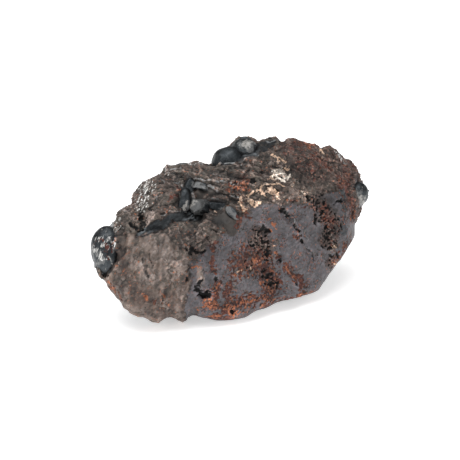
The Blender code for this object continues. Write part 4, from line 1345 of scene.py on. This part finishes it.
def lit_acrylic(settings):
    """A sheet of opal acrylic lit from below, as a light table has: matt white, and it softens shadows."""
    mat, tree = new_material("lit_opal_acrylic")
    colour = [*settings.floor, 1.0]
    looks = {
        "Base Color": colour, "Roughness": 0.95, "Emission Color": colour, "Emission Strength": settings.glow,
    }
    feed(tree, tree.nodes["Principled BSDF"], looks)
    return mat


def lay_floor(context, settings):
    """Adds the floor that the stone stands on."""
    mesh = bpy.data.meshes.new("floor")
    corners = [(x * FLOOR_REACH, y * FLOOR_REACH, 0) for x, y in ((-1, -1), (1, -1), (1, 1), (-1, 1))]
    mesh.from_pydata(corners, [], [(0, 1, 2, 3)])
    mesh.materials.append(lit_acrylic(settings))
    link(context, "floor", mesh)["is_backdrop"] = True


def light_room(context, settings):
    """Adds the light from all round, which the stone mirrors more darkly."""
    world = bpy.data.worlds.new("studio")
    world.use_nodes = True
    tree = world.node_tree
    mirrored = add(tree, "ShaderNodeLightPath").outputs["Is Glossy Ray"]
    levels = {0: mirrored, 2: settings.sky, 3: settings.mirrored_sky}
    brightness = add(tree, "ShaderNodeMix", levels, data_type="FLOAT")
    feed(tree, tree.nodes["Background"], {"Color": (1, 1, 1, 1), "Strength": brightness})
    context.scene.world = world


def aim(context, name, data, place):
    """Adds a camera or a light at a place in metres, turned to the middle of the view."""
    made = link(context, name, data)
    made.location = place
    to_stone = Vector((0, 0, VIEW_MIDDLE * MM)) - Vector(place)
    made.rotation_euler = to_stone.to_track_quat("-Z", "Y").to_euler()
    return made


class HEMATITE_OT_stage(bpy.types.Operator):
    """Sets up the floor, the soft lights and the camera"""

    bl_idname = "hematite.stage"
    bl_label = "Stage"

    def execute(self, context):
        settings = context.scene.hematite_stage
        lay_floor(context, settings)
        light_room(context, settings)
        lens = bpy.data.cameras.new("camera")
        lens.lens = lens.sensor_width * EYE_DISTANCE / VIEW_WIDTH
        context.scene.camera = aim(context, "camera", lens, eye_place() * MM)
        for name, (place, size) in LIGHTS.items():
            light = bpy.data.lights.new(name, "AREA")
            light.size = size
            light.energy = getattr(settings, name)
            aim(context, name, light, place)
        context.scene.view_settings.view_transform = "Standard"
        return {"FINISHED"}


class HEMATITE_PT_panel(bpy.types.Panel):
    """Lists the stone's settings and the steps that build it"""

    bl_label = "Hematite specimen"
    bl_space_type = "VIEW_3D"
    bl_region_type = "UI"
    bl_category = "Hematite"

    def draw(self, context):
        for kind, group in SETTINGS:
            box = self.layout.box()
            for name in kind.__annotations__:
                box.prop(getattr(context.scene, group), name)
        for operator in OPERATORS:
            self.layout.operator(operator.bl_idname)


SETTINGS = (
    (HematiteColours, "hematite_colours"),
    (HematiteRelief, "hematite_relief"),
    (HematiteGrains, "hematite_grains"),
    (HematiteStage, "hematite_stage"),
)
OPERATORS = (HEMATITE_OT_skin, HEMATITE_OT_domes, HEMATITE_OT_grains, HEMATITE_OT_stage)


def register():
    for kind, group in SETTINGS:
        bpy.utils.register_class(kind)
        setattr(bpy.types.Scene, group, bpy.props.PointerProperty(type=kind))
    for kind in (*OPERATORS, HEMATITE_PT_panel):
        bpy.utils.register_class(kind)


def unregister():
    for kind in reversed((*OPERATORS, HEMATITE_PT_panel)):
        bpy.utils.unregister_class(kind)
    for kind, group in reversed(SETTINGS):
        delattr(bpy.types.Scene, group)
        bpy.utils.unregister_class(kind)


def main():
    register()
    bpy.ops.hematite.skin()
    bpy.ops.hematite.domes()
    bpy.ops.hematite.grains()
    bpy.ops.hematite.stage()


if __name__ == "__main__":
    main()
